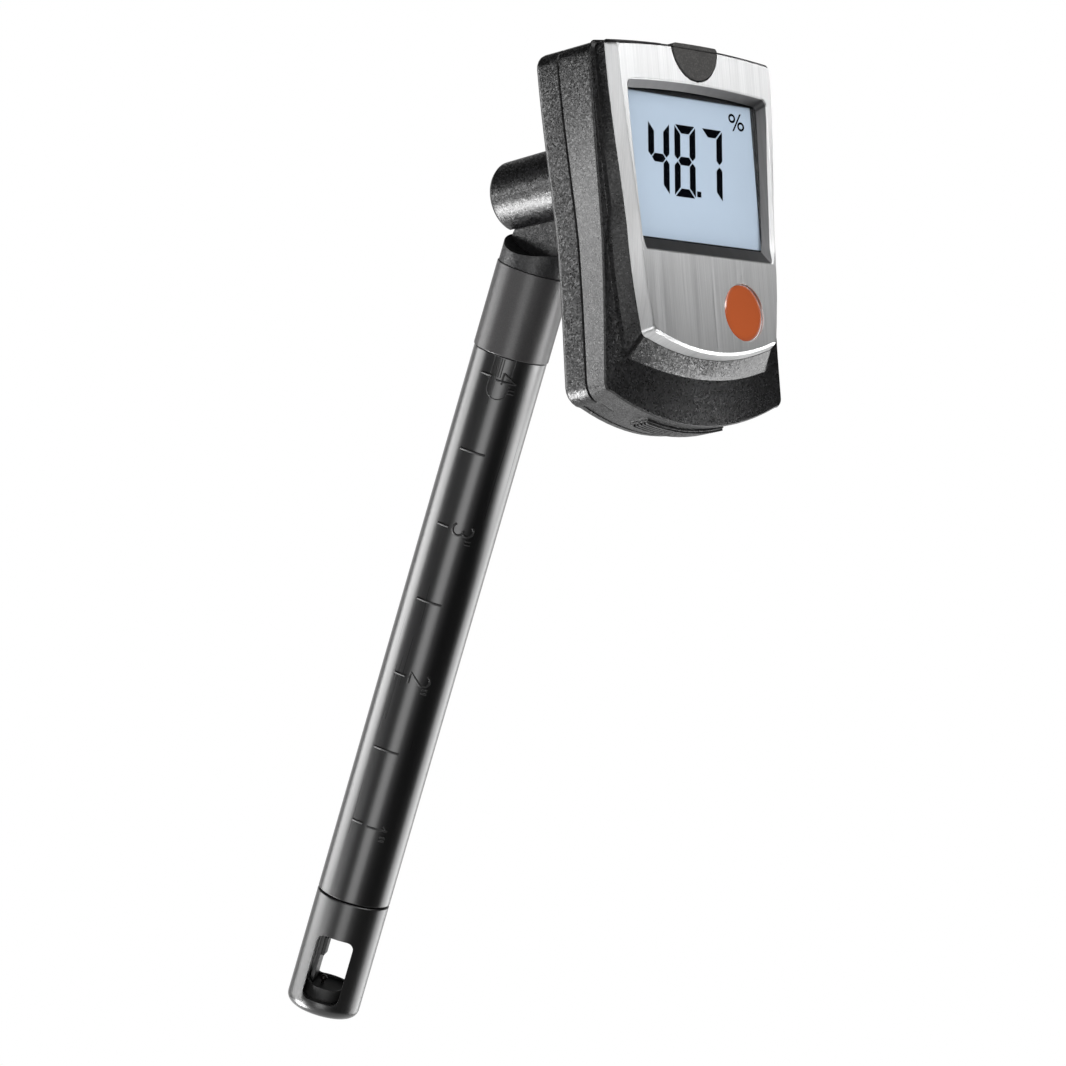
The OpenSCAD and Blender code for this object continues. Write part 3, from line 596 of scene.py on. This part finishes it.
def bend(cx, cy, rx, ry, start, end, count=14):
    """Points of an arc of an ellipse, angles in degrees."""
    return [(cx + rx * math.cos(math.radians(start + (end - start) * i / count)),
             cy + ry * math.sin(math.radians(start + (end - start) * i / count)))
            for i in range(count + 1)]


def arc(cx, cz, r, start, end, count=6):
    """Points of an arc of a circle, for the rounded corners of a profile."""
    return bend(cx, cz, r, r, start, end, count)


# %% [markdown]
# ## The probe tube
# The tube is plain and round, and 160 steps round it are enough for clean stripes. Its lower edge
# has a small chamfer that makes the fine dark line at the cap. The sleeve stands 0.16 mm proud.

# %% Tube and sleeve
TUBE_R, TUBE_BORE, TUBE_FOOT, TUBE_TOP = 6.0, 4.65, 20.0, 113.0
SLEEVE_TOP, SLEEVE_R, SLEEVE_BORE, SLEEVE_EDGE = 127.0, 6.16, 5.4, 0.14
tube = turned("probe_tube", [
    (5.84, TUBE_FOOT), (5.9, TUBE_FOOT + 0.05), (TUBE_R, TUBE_FOOT + 0.16),
    (TUBE_R, TUBE_FOOT + 0.3), (TUBE_R, TUBE_TOP - 0.2), (5.96, TUBE_TOP - 0.06),
    (5.9, TUBE_TOP), (TUBE_BORE, TUBE_TOP), (TUBE_BORE, TUBE_FOOT)])
weighted(tube, 40)
place_piece(tube, "probe", "tube_plastic", tube_abs, "shaft_tube")

rim_r = SLEEVE_R - SLEEVE_EDGE
sleeve = turned("grey_sleeve", [(SLEEVE_BORE, TUBE_TOP + 0.02)]
                + arc(rim_r, TUBE_TOP + 0.16, SLEEVE_EDGE, -90, 0, 4)
                + arc(rim_r, SLEEVE_TOP - 0.16, SLEEVE_EDGE, 0, 90, 4)
                + [(SLEEVE_BORE, SLEEVE_TOP - 0.02)])
weighted(sleeve, 40)
place_piece(sleeve, "probe", "sleeve_plastic", sleeve_nylon, "collar_sleeve")

# %% [markdown]
# ## The cap and what it holds
# The cap turns on the tube and has two vents, one on each side, so that one looks right through it.
# It is turned first, and a rounded bar then cuts both vents at once, as the mould's core does. A
# small bevel on the cut edges gives the bright line that runs round the opening.

# %% Cap with its vents
VENT_W, VENT_LOW, VENT_HIGH, VENT_CORNER, VENT_TURN = 6.1, 2.5, 13.5, 1.2, 215
CUTTER_REACH = 9


def cut_away(piece, tool, crossing=False):
    """Cuts a tool's shape out of a piece and removes the tool, whose parts may cross each other."""
    cut = piece.modifiers.new("cut away", "BOOLEAN")
    cut.object, cut.operation, cut.solver = tool, "DIFFERENCE", "EXACT"
    cut.use_self = crossing
    settle(piece)
    bpy.data.objects.remove(tool)


cap = turned("vented_cap", [(0, 0)] + arc(4.4, 1.6, 1.6, -90, 0, 8)
             + [(TUBE_R, 1.9), (TUBE_R, 19.4), (TUBE_R, 19.64), (5.84, 19.8), (4.7, 19.8),
                (4.7, 1.6), (0, 1.6)], closed=False)
side = VENT_W / 2 - VENT_CORNER
outline = []
for cx, cz, start in ((side, VENT_HIGH - VENT_CORNER, 0), (-side, VENT_HIGH - VENT_CORNER, 90),
                      (-side, VENT_LOW + VENT_CORNER, 180), (side, VENT_LOW + VENT_CORNER, 270)):
    outline += arc(cx, cz, VENT_CORNER, start, start + 90)
work = bmesh.new()
ends = [[work.verts.new((mm(x), mm(y), mm(z))) for y, z in outline]
        for x in (-CUTTER_REACH, CUTTER_REACH)]
bridge(work, *ends)
for end in ends:
    work.faces.new(end)
bmesh.ops.recalc_face_normals(work, faces=work.faces)
cutter = from_bmesh(work, "vent_cutter")
cutter.data.transform(Matrix.Rotation(math.radians(VENT_TURN), 4, "Z"))
cut_away(cap, cutter)
soften(cap, 0.09, angle=40)
weighted(cap, 50)
place_piece(cap, "cap", "tube_plastic", cap_abs, "protective_cap")

# %% [markdown]
# The holder that carries the sensors and the collar with its saddle have their true shape from CAD.
# Their edges are all that has to be made, so softened copies stand in for them.

# %% Sensor holder and hinge collar
stand_in("sensor_holder", "glossy_holder", "probe", "dark_plastic", holder_black, smooth=40,
         bevel_mm=0.06, bevel_angle=50)
stand_in("hinge_collar", "saddle_collar", "probe", "housing_plastic", collar_abs, smooth=40,
         bevel_mm=0.1, bevel_angle=40)

# %% [markdown]
# ## The scale on the probe
# The scale is moulded in the same black plastic, raised by little more than a tenth of a
# millimetre, so it shows only as fine dark and bright lines. A half inch is one long mark. A whole
# inch is a short mark and a numeral that lies on its side. The marks repeat at a fixed pitch, so
# Geometry Nodes set one arc, swept with a round section, on a line of points up the tube.

# %% Geometry Nodes for the marks
def tree_with_inputs(name, **kinds):
    """A Geometry Nodes tree with named inputs, and the sockets that give their values."""
    tree = bpy.data.node_groups.new(name, "GeometryNodeTree")
    tree.interface.new_socket("Geometry", in_out="INPUT", socket_type="NodeSocketGeometry")
    for label, kind in kinds.items():
        tree.interface.new_socket(label.replace("_", " "), in_out="INPUT",
                                  socket_type="NodeSocket" + kind)
    tree.interface.new_socket("Geometry", in_out="OUTPUT", socket_type="NodeSocketGeometry")
    return tree, add(tree, "NodeGroupInput").outputs


def end_tree(tree, copies, finish):
    """Ends a tree: makes the copies real and gives them their material."""
    real = add(tree, "GeometryNodeRealizeInstances", {"Geometry": copies})
    dressed = add(tree, "GeometryNodeSetMaterial", {"Geometry": real, "Material": finish})
    add(tree, "NodeGroupOutput", {"Geometry": dressed})
    print(tree.name, "has", len(tree.nodes), "nodes")


def grown(name, tree, values, smooth_degrees=50, base=None):
    """Runs a tree with named values on a base mesh, or on an empty one, and makes it plain."""
    piece = new_object(name, base or bpy.data.meshes.new(name))
    run = piece.modifiers.new("grow", "NODES")
    run.node_group = tree
    for item in tree.interface.items_tree:
        if item.in_out == "INPUT" and item.name in values:
            run[item.identifier] = values[item.name]
    return settle(piece, smooth_degrees)


mark_tree, given = tree_with_inputs(
    "marks round a tube", Count="Int", Pitch="Float", First_height="Float", Radius="Float",
    Start_angle="Float", Sweep_angle="Float", Section_radius="Float", Finish="Material")
foot = add(mark_tree, "CombineXYZ", {"Z": given["First height"]})
rise = add(mark_tree, "CombineXYZ", {"Z": given["Pitch"]})
spots = add(mark_tree, "GeometryNodeMeshLine", {
    "Count": given["Count"], "Start Location": foot, "Offset": rise})
bow = add(mark_tree, "GeometryNodeCurveArc", {
    "Resolution": 28, "Radius": given["Radius"], "Start Angle": given["Start angle"],
    "Sweep Angle": given["Sweep angle"]})
section = add(mark_tree, "GeometryNodeCurvePrimitiveCircle", {
    "Resolution": 12, "Radius": given["Section radius"]})
bar = add(mark_tree, "GeometryNodeCurveToMesh", {
    "Fill Caps": True, "Curve": bow, "Profile Curve": section})
copies = add(mark_tree, "GeometryNodeInstanceOnPoints", {"Points": spots, "Instance": bar})
end_tree(mark_tree, copies, given["Finish"])

# %% Long and short marks
DATUM, INCH = 8.0, 25.4
SECTION_R, SECTION_SUNK = 0.24, 0.1
# Count, first inch, and where a mark starts and how far it runs round the tube, in degrees
MARKS = (("half_inch_marks", 3, 1.5, 187, 41.5), ("inch_marks", 4, 1, 185.5, 19))
for name, count, first, start, sweep in MARKS:
    marks = grown(name, mark_tree, {
        "Count": count, "Pitch": mm(INCH), "First height": mm(DATUM + first * INCH),
        "Radius": mm(TUBE_R - SECTION_SUNK), "Section radius": mm(SECTION_R),
        "Start angle": math.radians(start), "Sweep angle": math.radians(sweep),
        "Finish": mark_abs})
    place_piece(marks, "probe", "tube_plastic", mark_abs)

# %% [markdown]
# The numerals are drawn as strokes on paper, in millimetres, and wrapped round the tube point by
# point. Each stroke is a curve with a round section, sunk into the tube like the marks. The paper's
# width runs down the tube and its height round it, because the figures lie on their side.

# %% Strokes on the tube
def straight(x0, y0, x1, y1, count=10):
    """Points of a straight stroke, close enough together to follow the tube when wrapped."""
    return [(x0 + (x1 - x0) * i / count, y0 + (y1 - y0) * i / count) for i in range(count + 1)]


def strokes_round_tube(name, sheets, section_mm, sunk_mm):
    """Strokes as raised bars on the tube. A sheet is an azimuth, a height and its strokes."""
    drawing = bpy.data.curves.new(name, "CURVE")
    drawing.dimensions = "3D"
    drawing.bevel_depth = mm(section_mm)
    drawing.bevel_resolution = 3
    drawing.use_fill_caps = True
    r = TUBE_R - sunk_mm
    for azimuth, height, strokes in sheets:
        for stroke in strokes:
            line = drawing.splines.new("POLY")
            line.points.add(len(stroke) - 1)
            for point, (x, y) in zip(line.points, stroke):
                a = math.radians(azimuth) + y / TUBE_R
                point.co = (mm(r * math.cos(a)), mm(r * math.sin(a)), mm(height - x), 1)
    piece = new_object(name, drawing)
    mesh = baked(piece)
    bpy.data.objects.remove(piece)
    return settle(new_object(name, mesh), 50)


# %% Numerals and inch signs
TALL, WIDE = 3.4, 1.9
NUMERAL_AZIMUTH, STROKE_SUNK = 212, 0.09
w, h = WIDE / 2, TALL
figures = {
    1: [straight(0.25, 0, 0.25, h), straight(0.25, h, -0.45, h - 0.75, 5)],
    2: [bend(0, h - w, w, w, 165, -35) + straight(w * 0.8, h - w * 1.6, -w, 0.0),
        straight(-w, 0, w, 0)],
    3: [bend(-0.1, h - 0.88, w * 0.95, 0.88, 150, -80),
        bend(-0.1, 0.93, w * 1.05, 0.93, 88, -150)],
    4: [straight(0.45, 0, 0.45, h), straight(0.45, h, -w, 1.05), straight(-w, 1.05, w, 1.05)],
}
inch_sign = [straight(w + 0.55, h, w + 0.5, h - 0.95, 4),
             straight(w + 1.1, h, w + 1.05, h - 0.95, 4)]
sheets = [(NUMERAL_AZIMUTH, DATUM + INCH * inch, strokes + inch_sign)
          for inch, strokes in figures.items()]
numerals = strokes_round_tube("scale_numerals", sheets, 0.22, STROKE_SUNK)
place_piece(numerals, "probe", "tube_plastic", mark_abs)

# %% Latch under the sleeve
# The latch is a tongue with a rounded end and three fine ribs
LATCH_AZIMUTH, LATCH_LONG, LATCH_HALF = 218, 5.2, 1.7
tongue = (straight(0, -LATCH_HALF, LATCH_LONG, -LATCH_HALF, 12)
          + bend(LATCH_LONG, 0, LATCH_HALF, LATCH_HALF, -90, 90)
          + straight(LATCH_LONG, LATCH_HALF, 0, LATCH_HALF, 12))
ribs = [straight(0.3, y, 3.4, y, 4) for y in (-0.85, -0.45, -0.05)]
latch = strokes_round_tube("sleeve_latch", [(LATCH_AZIMUTH, TUBE_TOP, [tongue] + ribs)], 0.13,
                           STROKE_SUNK)
place_piece(latch, "probe", "tube_plastic", mark_abs)

# %% [markdown]
# ## The housing
# The two shells already have their true curves, chamfers and the groove between them from CAD, so a
# welded copy with weighted normals is all they need. The eroded finish does the rest. The front
# shell keeps a crease at 15 degrees, where the band under the faceplate meets the chin.

# %% Shells
stand_in("rear_shell", "rear_housing", "head", "housing_plastic", housing_abs, smooth=28)
stand_in("front_shell", "front_housing", "head", "housing_plastic", housing_abs, smooth=15)

# %% [markdown]
# ## Faceplate, key and window
# The plate's edge is a bright line in any light, so its bevel is the most important one here. The
# key has rounded corners that CAD leaves sharp: the edges that run from front to back at its top
# are found in the head's frame and beveled before the rest.

# %% Faceplate, key and window
KEY_CORNER_X, KEY_CORNER_Z, KEY_CORNER_R = 4.6, 14.6, 0.8
stand_in("faceplate", "brushed_faceplate", "head", "brushed_plate", plate_aluminium, smooth=24,
         bevel_mm=0.07, bevel_angle=24)

key = merged_copy("power_key", "power_key_top")
work = bmesh.new()
work.from_mesh(key.data)
to_head = HEAD.inverted()
corner_edges = []
for edge in work.edges:
    ends = [to_head @ v.co for v in edge.verts]
    in_corner = all(abs(e.x) > mm(KEY_CORNER_X) and e.z > mm(KEY_CORNER_Z) for e in ends)
    if in_corner and abs(ends[0].y - ends[1].y) > mm(0.5):
        corner_edges.append(edge)
bmesh.ops.bevel(work, geom=corner_edges, offset=mm(KEY_CORNER_R), segments=5, affect="EDGES",
                profile=0.5)
work.to_mesh(key.data)
work.free()
print(len(corner_edges), "corner edges of the key rounded")
soften(key, 0.15, angle=40, segments=3)
weighted(key, 30)
place_piece(key, "key", "key_plastic", key_abs, "power_key")

window = merged_copy("window_lens", "acrylic_window")
place_piece(settle(window), "head", "window", window_acrylic, "window_lens")

# %% [markdown]
# ## The reading on the display
# A liquid crystal shows seven bars for each figure, mitred where they meet and parted by a hair's
# breadth. Each bar is a small polygon drawn in the head's frame, leaned by 5.6 degrees like the
# real ones, and given a little thickness in front of the pale field.

# %% The seven bars of a figure
def bars(width, height, bar, gap):
    """The seven bars of a figure, centred on the origin, as lists of corners."""
    w, h, t, g = width / 2, height / 2, bar, gap / 2
    m = t / 2
    top = [(-w + g * 1.5, h), (w - g * 1.5, h), (w - t - g * 1.5, h - t), (-w + t + g * 1.5, h - t)]
    right = [(w, h - g * 1.5), (w, m + g), (w - m, g * 1.4), (w - t, m + g),
             (w - t, h - t - g * 1.5)]
    middle = [(-w + m + g * 1.6, 0), (-w + t + g, m), (w - t - g, m), (w - m - g * 1.6, 0),
              (w - t - g, -m), (-w + t + g, -m)]

    def flip(points, sx, sz):
        return [(x * sx, z * sz) for x, z in points]
    return {"a": top, "b": right, "c": flip(right, 1, -1), "d": flip(top, 1, -1),
            "e": flip(right, -1, -1), "f": flip(right, -1, 1), "g": middle}


def ellipse(cx, cz, rx, rz, count=28):
    """Points round an ellipse, the first one not repeated."""
    return bend(cx, cz, rx, rz, 0, 360, count)[:-1]


LEAN = math.tan(math.radians(5.6))
FIGURE_Z = -1.9
shapes = bars(4.8, 11.4, 1.32, 0.26)
polygons = []
for centre, lit in ((-7.96, "bcfg"), (-1.92, "abcdefg"), (4.35, "abc")):
    for bar in lit:
        polygons.append([(centre + x + z * LEAN, FIGURE_Z + z) for x, z in shapes[bar]])
# The decimal point, and the slash of the percent sign
polygons.append([(0.28, -7.3), (1.22, -7.3), (1.3, -6.4), (0.36, -6.4)])
polygons.append([(9.85, 4.1), (10.2, 4.1), (12.15, 6.95), (11.8, 6.95)])
print(len(polygons), "dark shapes, each", round(shapes["a"][1][0] - shapes["a"][0][0], 2),
      "mm long at most")

# %% The reading as a thin solid
READING_Y, READING_DEEP = 2.26, 0.03
PERCENT_RINGS = ((9.92, 6.1), (11.9, 4.95))


def corners_of(work, points):
    """New corners of the reading, from points on the face."""
    return [work.verts.new(on_head(x, READING_Y, z)) for x, z in points]


work = bmesh.new()
for points in polygons:
    work.faces.new(corners_of(work, points))
for cx, cz in PERCENT_RINGS:
    outer = corners_of(work, ellipse(cx, cz, 0.8, 0.74))
    inner = corners_of(work, ellipse(cx, cz, 0.45, 0.38))
    bridge(work, outer, inner)
depth = HEAD.to_3x3() @ Vector((0, mm(READING_DEEP), 0))
pulled = bmesh.ops.extrude_face_region(work, geom=list(work.faces))
bmesh.ops.translate(work, vec=depth, verts=[v for v in pulled["geom"]
                                            if isinstance(v, bmesh.types.BMVert)])
bmesh.ops.recalc_face_normals(work, faces=work.faces)
reading = from_bmesh(work, "display_reading")
place_piece(reading, "head", "display", segment_black)

# %% [markdown]
# ## The badge
# The badge is a shallow domed disc of one plain enamel colour. It is turned flat at the origin, and
# one matrix then lays it in its recess and stands it upright.

# %% Badge
BADGE_X, BADGE_Z, BADGE_R, BADGE_PROUD = 6.9, -25.3, 4.42, 0.2
badge = turned("enamel_badge", [(0, 0.19), (1.5, 0.17), (2.8, 0.12), (3.7, 0.05), (4.2, -0.03),
                                (BADGE_R, -0.16), (BADGE_R, -0.6), (0, -0.6)], steps=96,
               closed=False)
badge.data.transform(HEAD @ Matrix.Translation((mm(BADGE_X), mm(BADGE_PROUD), mm(BADGE_Z)))
                     @ Matrix.Rotation(math.pi / 2, 4, "X"))
weighted(badge, 40)
place_piece(badge, "head", "badge_enamel", badge_enamel, "badge_disc")

# %% [markdown]
# ## The battery drawer
# The drawer carries three button cells in round wells. The cells are CAD shapes with softened
# edges, which catch the light as pressed steel does. The drawer keeps its triangles, because one
# joined face with three wells in it can come out with a well closed. Its shader rounds its edges.

# %% Drawer and cells
stand_in("battery_drawer", "battery_tray", "drawer", "housing_plastic", lid_abs, smooth=30,
         join_flats=False)
for node in ("left_cell", "right_cell", "upper_cell"):
    stand_in(node, node + "_can", "drawer", "cell_steel", cell_steel, smooth=30, bevel_mm=0.12,
             bevel_angle=35)

# %% [markdown]
# ## Screws at the back
# Four equal screws hold the shells. One pan head with a cross recess is modelled once, and Geometry
# Nodes set it on four points, turned a little differently each time, as real screws end up.

# %% One screw head
SCREW_R, SCREW_H = 1.9, 0.95
RECESS_LONG, RECESS_WIDE, RECESS_DEEP = 2.3, 0.5, 1.4
screw = turned("screw_head", [(0, SCREW_H), (0.9, SCREW_H - 0.06), (1.4, SCREW_H - 0.18),
                              (1.75, SCREW_H - 0.42), (SCREW_R, SCREW_H - 0.7), (SCREW_R, 0),
                              (0, 0)], steps=48, closed=False)
work = bmesh.new()
for degrees in (0, 90):
    blade = bmesh.ops.create_cube(work, size=1.0)["verts"]
    bmesh.ops.scale(work, vec=(mm(RECESS_LONG), mm(RECESS_WIDE), mm(RECESS_DEEP)), verts=blade)
    bmesh.ops.translate(work, vec=(0, 0, mm(SCREW_H + 0.02)), verts=blade)
    bmesh.ops.rotate(work, cent=(0, 0, 0), verts=blade,
                     matrix=Matrix.Rotation(math.radians(degrees), 3, "Z"))
cut_away(screw, from_bmesh(work, "cross_recess"), crossing=True)
soften(screw, 0.05, angle=45)
print("one screw head has", len(screw.data.polygons), "faces")

# %% The same head, set four times
SCREW_SPOTS = ((-15.1, 12.3), (15.1, 12.3), (-15.3, -33.2), (15.3, -33.2))
SEAT_Y = 15.8 - 0.25 - SCREW_H

screw_tree, given = tree_with_inputs("screws on points", Screw="Object", Seat="Vector",
                                     Seed="Int", Finish="Material")
model = add(screw_tree, "GeometryNodeObjectInfo", {"Object": given["Screw"]})
spin = add(screw_tree, "FunctionNodeRandomValue", {
    "data_type": "FLOAT", 3: math.pi, "Seed": given["Seed"]})
about = add(screw_tree, "CombineXYZ", {"Z": spin.outputs[1]})
copies = add(screw_tree, "GeometryNodeInstanceOnPoints", {
    "Points": given["Geometry"], "Instance": model.outputs["Geometry"], "Rotation": given["Seat"]})
twisted = add(screw_tree, "GeometryNodeRotateInstances", {"Instances": copies, "Rotation": about})
end_tree(screw_tree, twisted, given["Finish"])

points = bpy.data.meshes.new("screw_spots")
points.from_pydata([on_head(x, SEAT_Y, z) for x, z in SCREW_SPOTS], [], [])
seat = (HEAD.to_3x3() @ Matrix.Rotation(-math.pi / 2, 3, "X")).to_euler()
screws = grown("housing_screw_heads", screw_tree,
               {"Screw": screw, "Seat": tuple(seat), "Seed": 4, "Finish": screw_steel},
               smooth_degrees=40, base=points)
bpy.data.objects.remove(screw)
place_piece(screws, "head", "screw_steel", screw_steel, "housing_screws")

# %% [markdown]
# ## Pieces that keep their CAD shape
# Boards, leads and the hinge pin are hidden or plain, and their CAD shape is right. They only get
# their material, linked to the object's own slot, so that the CAD mesh stays as it is.

# %% Materials for the carried-over nodes
carried = {
    "sensor_board": sensor_laminate, "humidity_sensor": sensor_ceramic,
    "temperature_bead": bead_resin, "cap_snap_ring": spring_steel,
    "probe_leads": probe_insulation, "lcd_frame": frame_plastic, "lcd_glass": display_blue,
    "elastomer_strips": contact_rubber, "main_board": main_laminate,
    "controller_chip": chip_epoxy, "key_switch": spring_steel, "switch_plunger": chip_epoxy,
    "lead_connector": connector_nylon, "head_leads": lead_insulation, "hinge_pin": pin_steel,
    "friction_washers": washer_bronze, "battery_contacts": contact_brass}
for name, finish in carried.items():
    for slot in nodes[name].material_slots:
        slot.link = "OBJECT"
        slot.material = finish
print(len(carried), "CAD nodes keep their shape")

# %% [markdown]
# ## Floor
# The object is held in the air, as in the photograph, over a pale floor that lies well below the
# picture's edge. A floor lit to white would light the object from below. This one is mostly plain
# white to camera, mirrored and refracted rays, and for the rest a pale card with a shadow.

# %% White floor
FLOOR_Z, FLOOR_R, WHITE_SHARE = -0.35, 0.66, 0.8
card, tree, at = new_finish("pale card, floor")
fibre = add(tree, "TexNoise", {"Scale": 1 / mm(2), "Vector": at})
tint = steps_of(add(tree, "ValToRGB", {"Fac": fibre}), (0.4, 0.6), ("#ececec", "#f1f1f1"))
dull = add(tree, "BsdfDiffuse", {"Color": tint})
ray = add(tree, "LightPath")
seen = add(tree, "Math", {
    "operation": "MAXIMUM", 0: ray.outputs["Is Camera Ray"], 1: ray.outputs["Is Glossy Ray"]})
seen = add(tree, "Math", {"operation": "MAXIMUM", 0: seen, 1: ray.outputs["Is Transmission Ray"]})
share = add(tree, "Math", {"operation": "MULTIPLY", 0: seen, 1: WHITE_SHARE})
white = add(tree, "Emission")
shown = add(tree, "MixShader", {0: share, 1: dull, 2: white})

disc = bmesh.new()
bmesh.ops.create_circle(disc, cap_ends=True, segments=96, radius=FLOOR_R)
floor = from_bmesh(disc, "floor")
floor.data.transform(Matrix.Translation((0, 0, FLOOR_Z)))
floor.data.materials.append(finished(card, shown))
print("floor of", FLOOR_R * 2, "m across,", -FLOOR_Z, "m below the tip")

# %% [markdown]
# ## The room
# A black gloss surface shows nothing but the room, so the room is what has to be right. The world
# is plain white to the camera. To mirrored and refracted rays it is pale behind the object and dim
# in front and above, as in a dark studio with a backdrop. The rest get a little even light.

# %% World
BACKDROP_AZIMUTH = 42
world = bpy.data.worlds.new("studio")
bpy.context.scene.world = world
world.use_nodes = True
tree = world.node_tree
tree.nodes.clear()
backdrop = math.radians(BACKDROP_AZIMUTH)
aim = add(tree, "TexCoord")
toward = add(tree, "VectorMath", {
    "operation": "DOT_PRODUCT", 0: aim.outputs["Generated"],
    1: (math.cos(backdrop), math.sin(backdrop), 0)})
behind = steps_of(add(tree, "ValToRGB", {"Fac": toward.outputs["Value"]}),
                  (0.0, 0.5, 0.8, 0.92), (0.02, 0.04, 0.5, 0.62))
apart = add(tree, "SeparateXYZ", {0: aim.outputs["Generated"]})
low = steps_of(add(tree, "ValToRGB", {"Fac": apart.outputs["Z"]}),
               (0.0, 0.1, 0.25), (1.0, 1.0, 0.08))
level = add(tree, "Math", {"operation": "MULTIPLY", 0: behind, 1: low})
mirrored = add(tree, "Background", {"Color": level})
plain = add(tree, "Background", {"Color": (1, 1, 1, 1)})
soft = add(tree, "Background", {"Color": (1, 1, 1, 1), "Strength": 0.2})
ray = add(tree, "LightPath")
# Glass shows the room as a mirror does: white straight behind, dim where it throws light back
bounced = add(tree, "Math", {
    "operation": "MAXIMUM", 0: ray.outputs["Is Glossy Ray"], 1: ray.outputs["Is Transmission Ray"]})
first = add(tree, "MixShader", {0: bounced, 1: soft, 2: mirrored})
second = add(tree, "MixShader", {0: ray.outputs["Is Camera Ray"], 1: first, 2: plain})
add(tree, "OutputWorld", {"Surface": second})
print("the backdrop is brightest toward azimuth", BACKDROP_AZIMUTH, "degrees")

# %% [markdown]
# ## The lamps
# Each lamp is one reflection that one would see on the real object, so each is placed by the
# direction that its surface mirrors. Azimuth and elevation say where the lamp hangs, width and
# height how much of the room it fills, all in degrees, and its level how bright a mirror would show
# it. Two small lamps near the chin light only the band and the bevel there, in a narrow spread.

# %% Lamps
def softbox(name, azimuth, elevation, width_deg, height_deg, level, distance=0.9,
            aim_at=(0, -0.01, 0.09), spread_deg=180):
    """A rectangular lamp that faces the object."""
    a, e = math.radians(azimuth), math.radians(elevation)
    toward = Vector((math.cos(e) * math.cos(a), math.cos(e) * math.sin(a), math.sin(e)))
    lamp = bpy.data.lights.new(name, "AREA")
    lamp.shape = "RECTANGLE"
    lamp.size = 2 * distance * math.tan(math.radians(width_deg) / 2)
    lamp.size_y = 2 * distance * math.tan(math.radians(height_deg) / 2)
    lamp.energy = level * math.pi * lamp.size * lamp.size_y
    lamp.spread = math.radians(spread_deg)
    box = new_object(name, lamp)
    box.location = Vector(aim_at) + distance * toward
    box.rotation_euler = toward.to_track_quat("Z", "Y").to_euler()
    box.visible_camera = False
    print(f"{name}: {lamp.size:.2f} x {lamp.size_y:.2f} m, {lamp.energy:.1f} W")


AT_CHIN = {"distance": 0.1, "aim_at": (0.005, -0.033, 0.117), "spread_deg": 50}
AT_HEAD = {"distance": 0.45, "aim_at": (0, -0.01, 0.13)}
# Name, azimuth, elevation, width, height, level, and where it differs from the other lamps
LAMPS = (
    ("strip_left", 120, -14, 37, 16, 6.8, {}),          # the bright stripe at the tube's left
    ("low_left", 142, -50, 26, 24, 24.0, AT_HEAD),      # the underside of the shells
    ("strip_front", 216, -12, 26, 26, 3.4, {}),         # the broad stripe down the tube's middle
    ("front_fill", 224, -8, 50, 40, 0.15, {}),          # a trace of grey beside that stripe
    ("side_fill", 185, 13, 22, 22, 2.9, {}),            # the sheen on the side of the head
    ("strip_right", 346.5, -18, 41, 22, 3.0, {}),       # the stripe at the tube's right
    ("lip_light", 319, -10, 46, 10, 0.9, AT_CHIN),      # the band under the faceplate
    ("bevel_light", 322, -27, 56, 12, 0.9, AT_CHIN),    # the plate's lower bevel
    ("overhead", 262, 68, 50, 40, 2.4, {}),             # the tops of the head and the boss
    ("plate_fan", 276, 46, 30, 8, 10.8, {}))            # the pale fan on the brushed plate
for *setting, special in LAMPS:
    softbox(*setting, **special)

# %% [markdown]
# ## The camera
# A long lens from the left of the display, a little above, rolled so that the probe leans. Place
# and lens come from a fit of the scale, the tube's edges and the window to the photograph.

# %% Camera
LENS_MM, SENSOR_MM = 180.47, 36.0
CAMERA_PLACE = (-0.61357, -0.57116, 0.25738)
CAMERA_RIGHT, CAMERA_BACK = (0.686, -0.67362, 0.27504), (-0.7261, -0.65769, 0.20043)
eye = bpy.data.cameras.new("camera")
eye.lens, eye.sensor_width = LENS_MM, SENSOR_MM
eye.clip_start, eye.clip_end = 0.01, 20
camera = new_object("camera", eye)
back = Vector(CAMERA_BACK).normalized()
up = back.cross(Vector(CAMERA_RIGHT)).normalized()
turn = Matrix((up.cross(back), up, back)).transposed().to_4x4()
camera.matrix_world = Matrix.Translation(CAMERA_PLACE) @ turn
scene = bpy.context.scene
scene.camera = camera
scene.view_settings.view_transform = "Standard"
print("the camera is", round(Vector(CAMERA_PLACE).length, 2), "m from the tip")
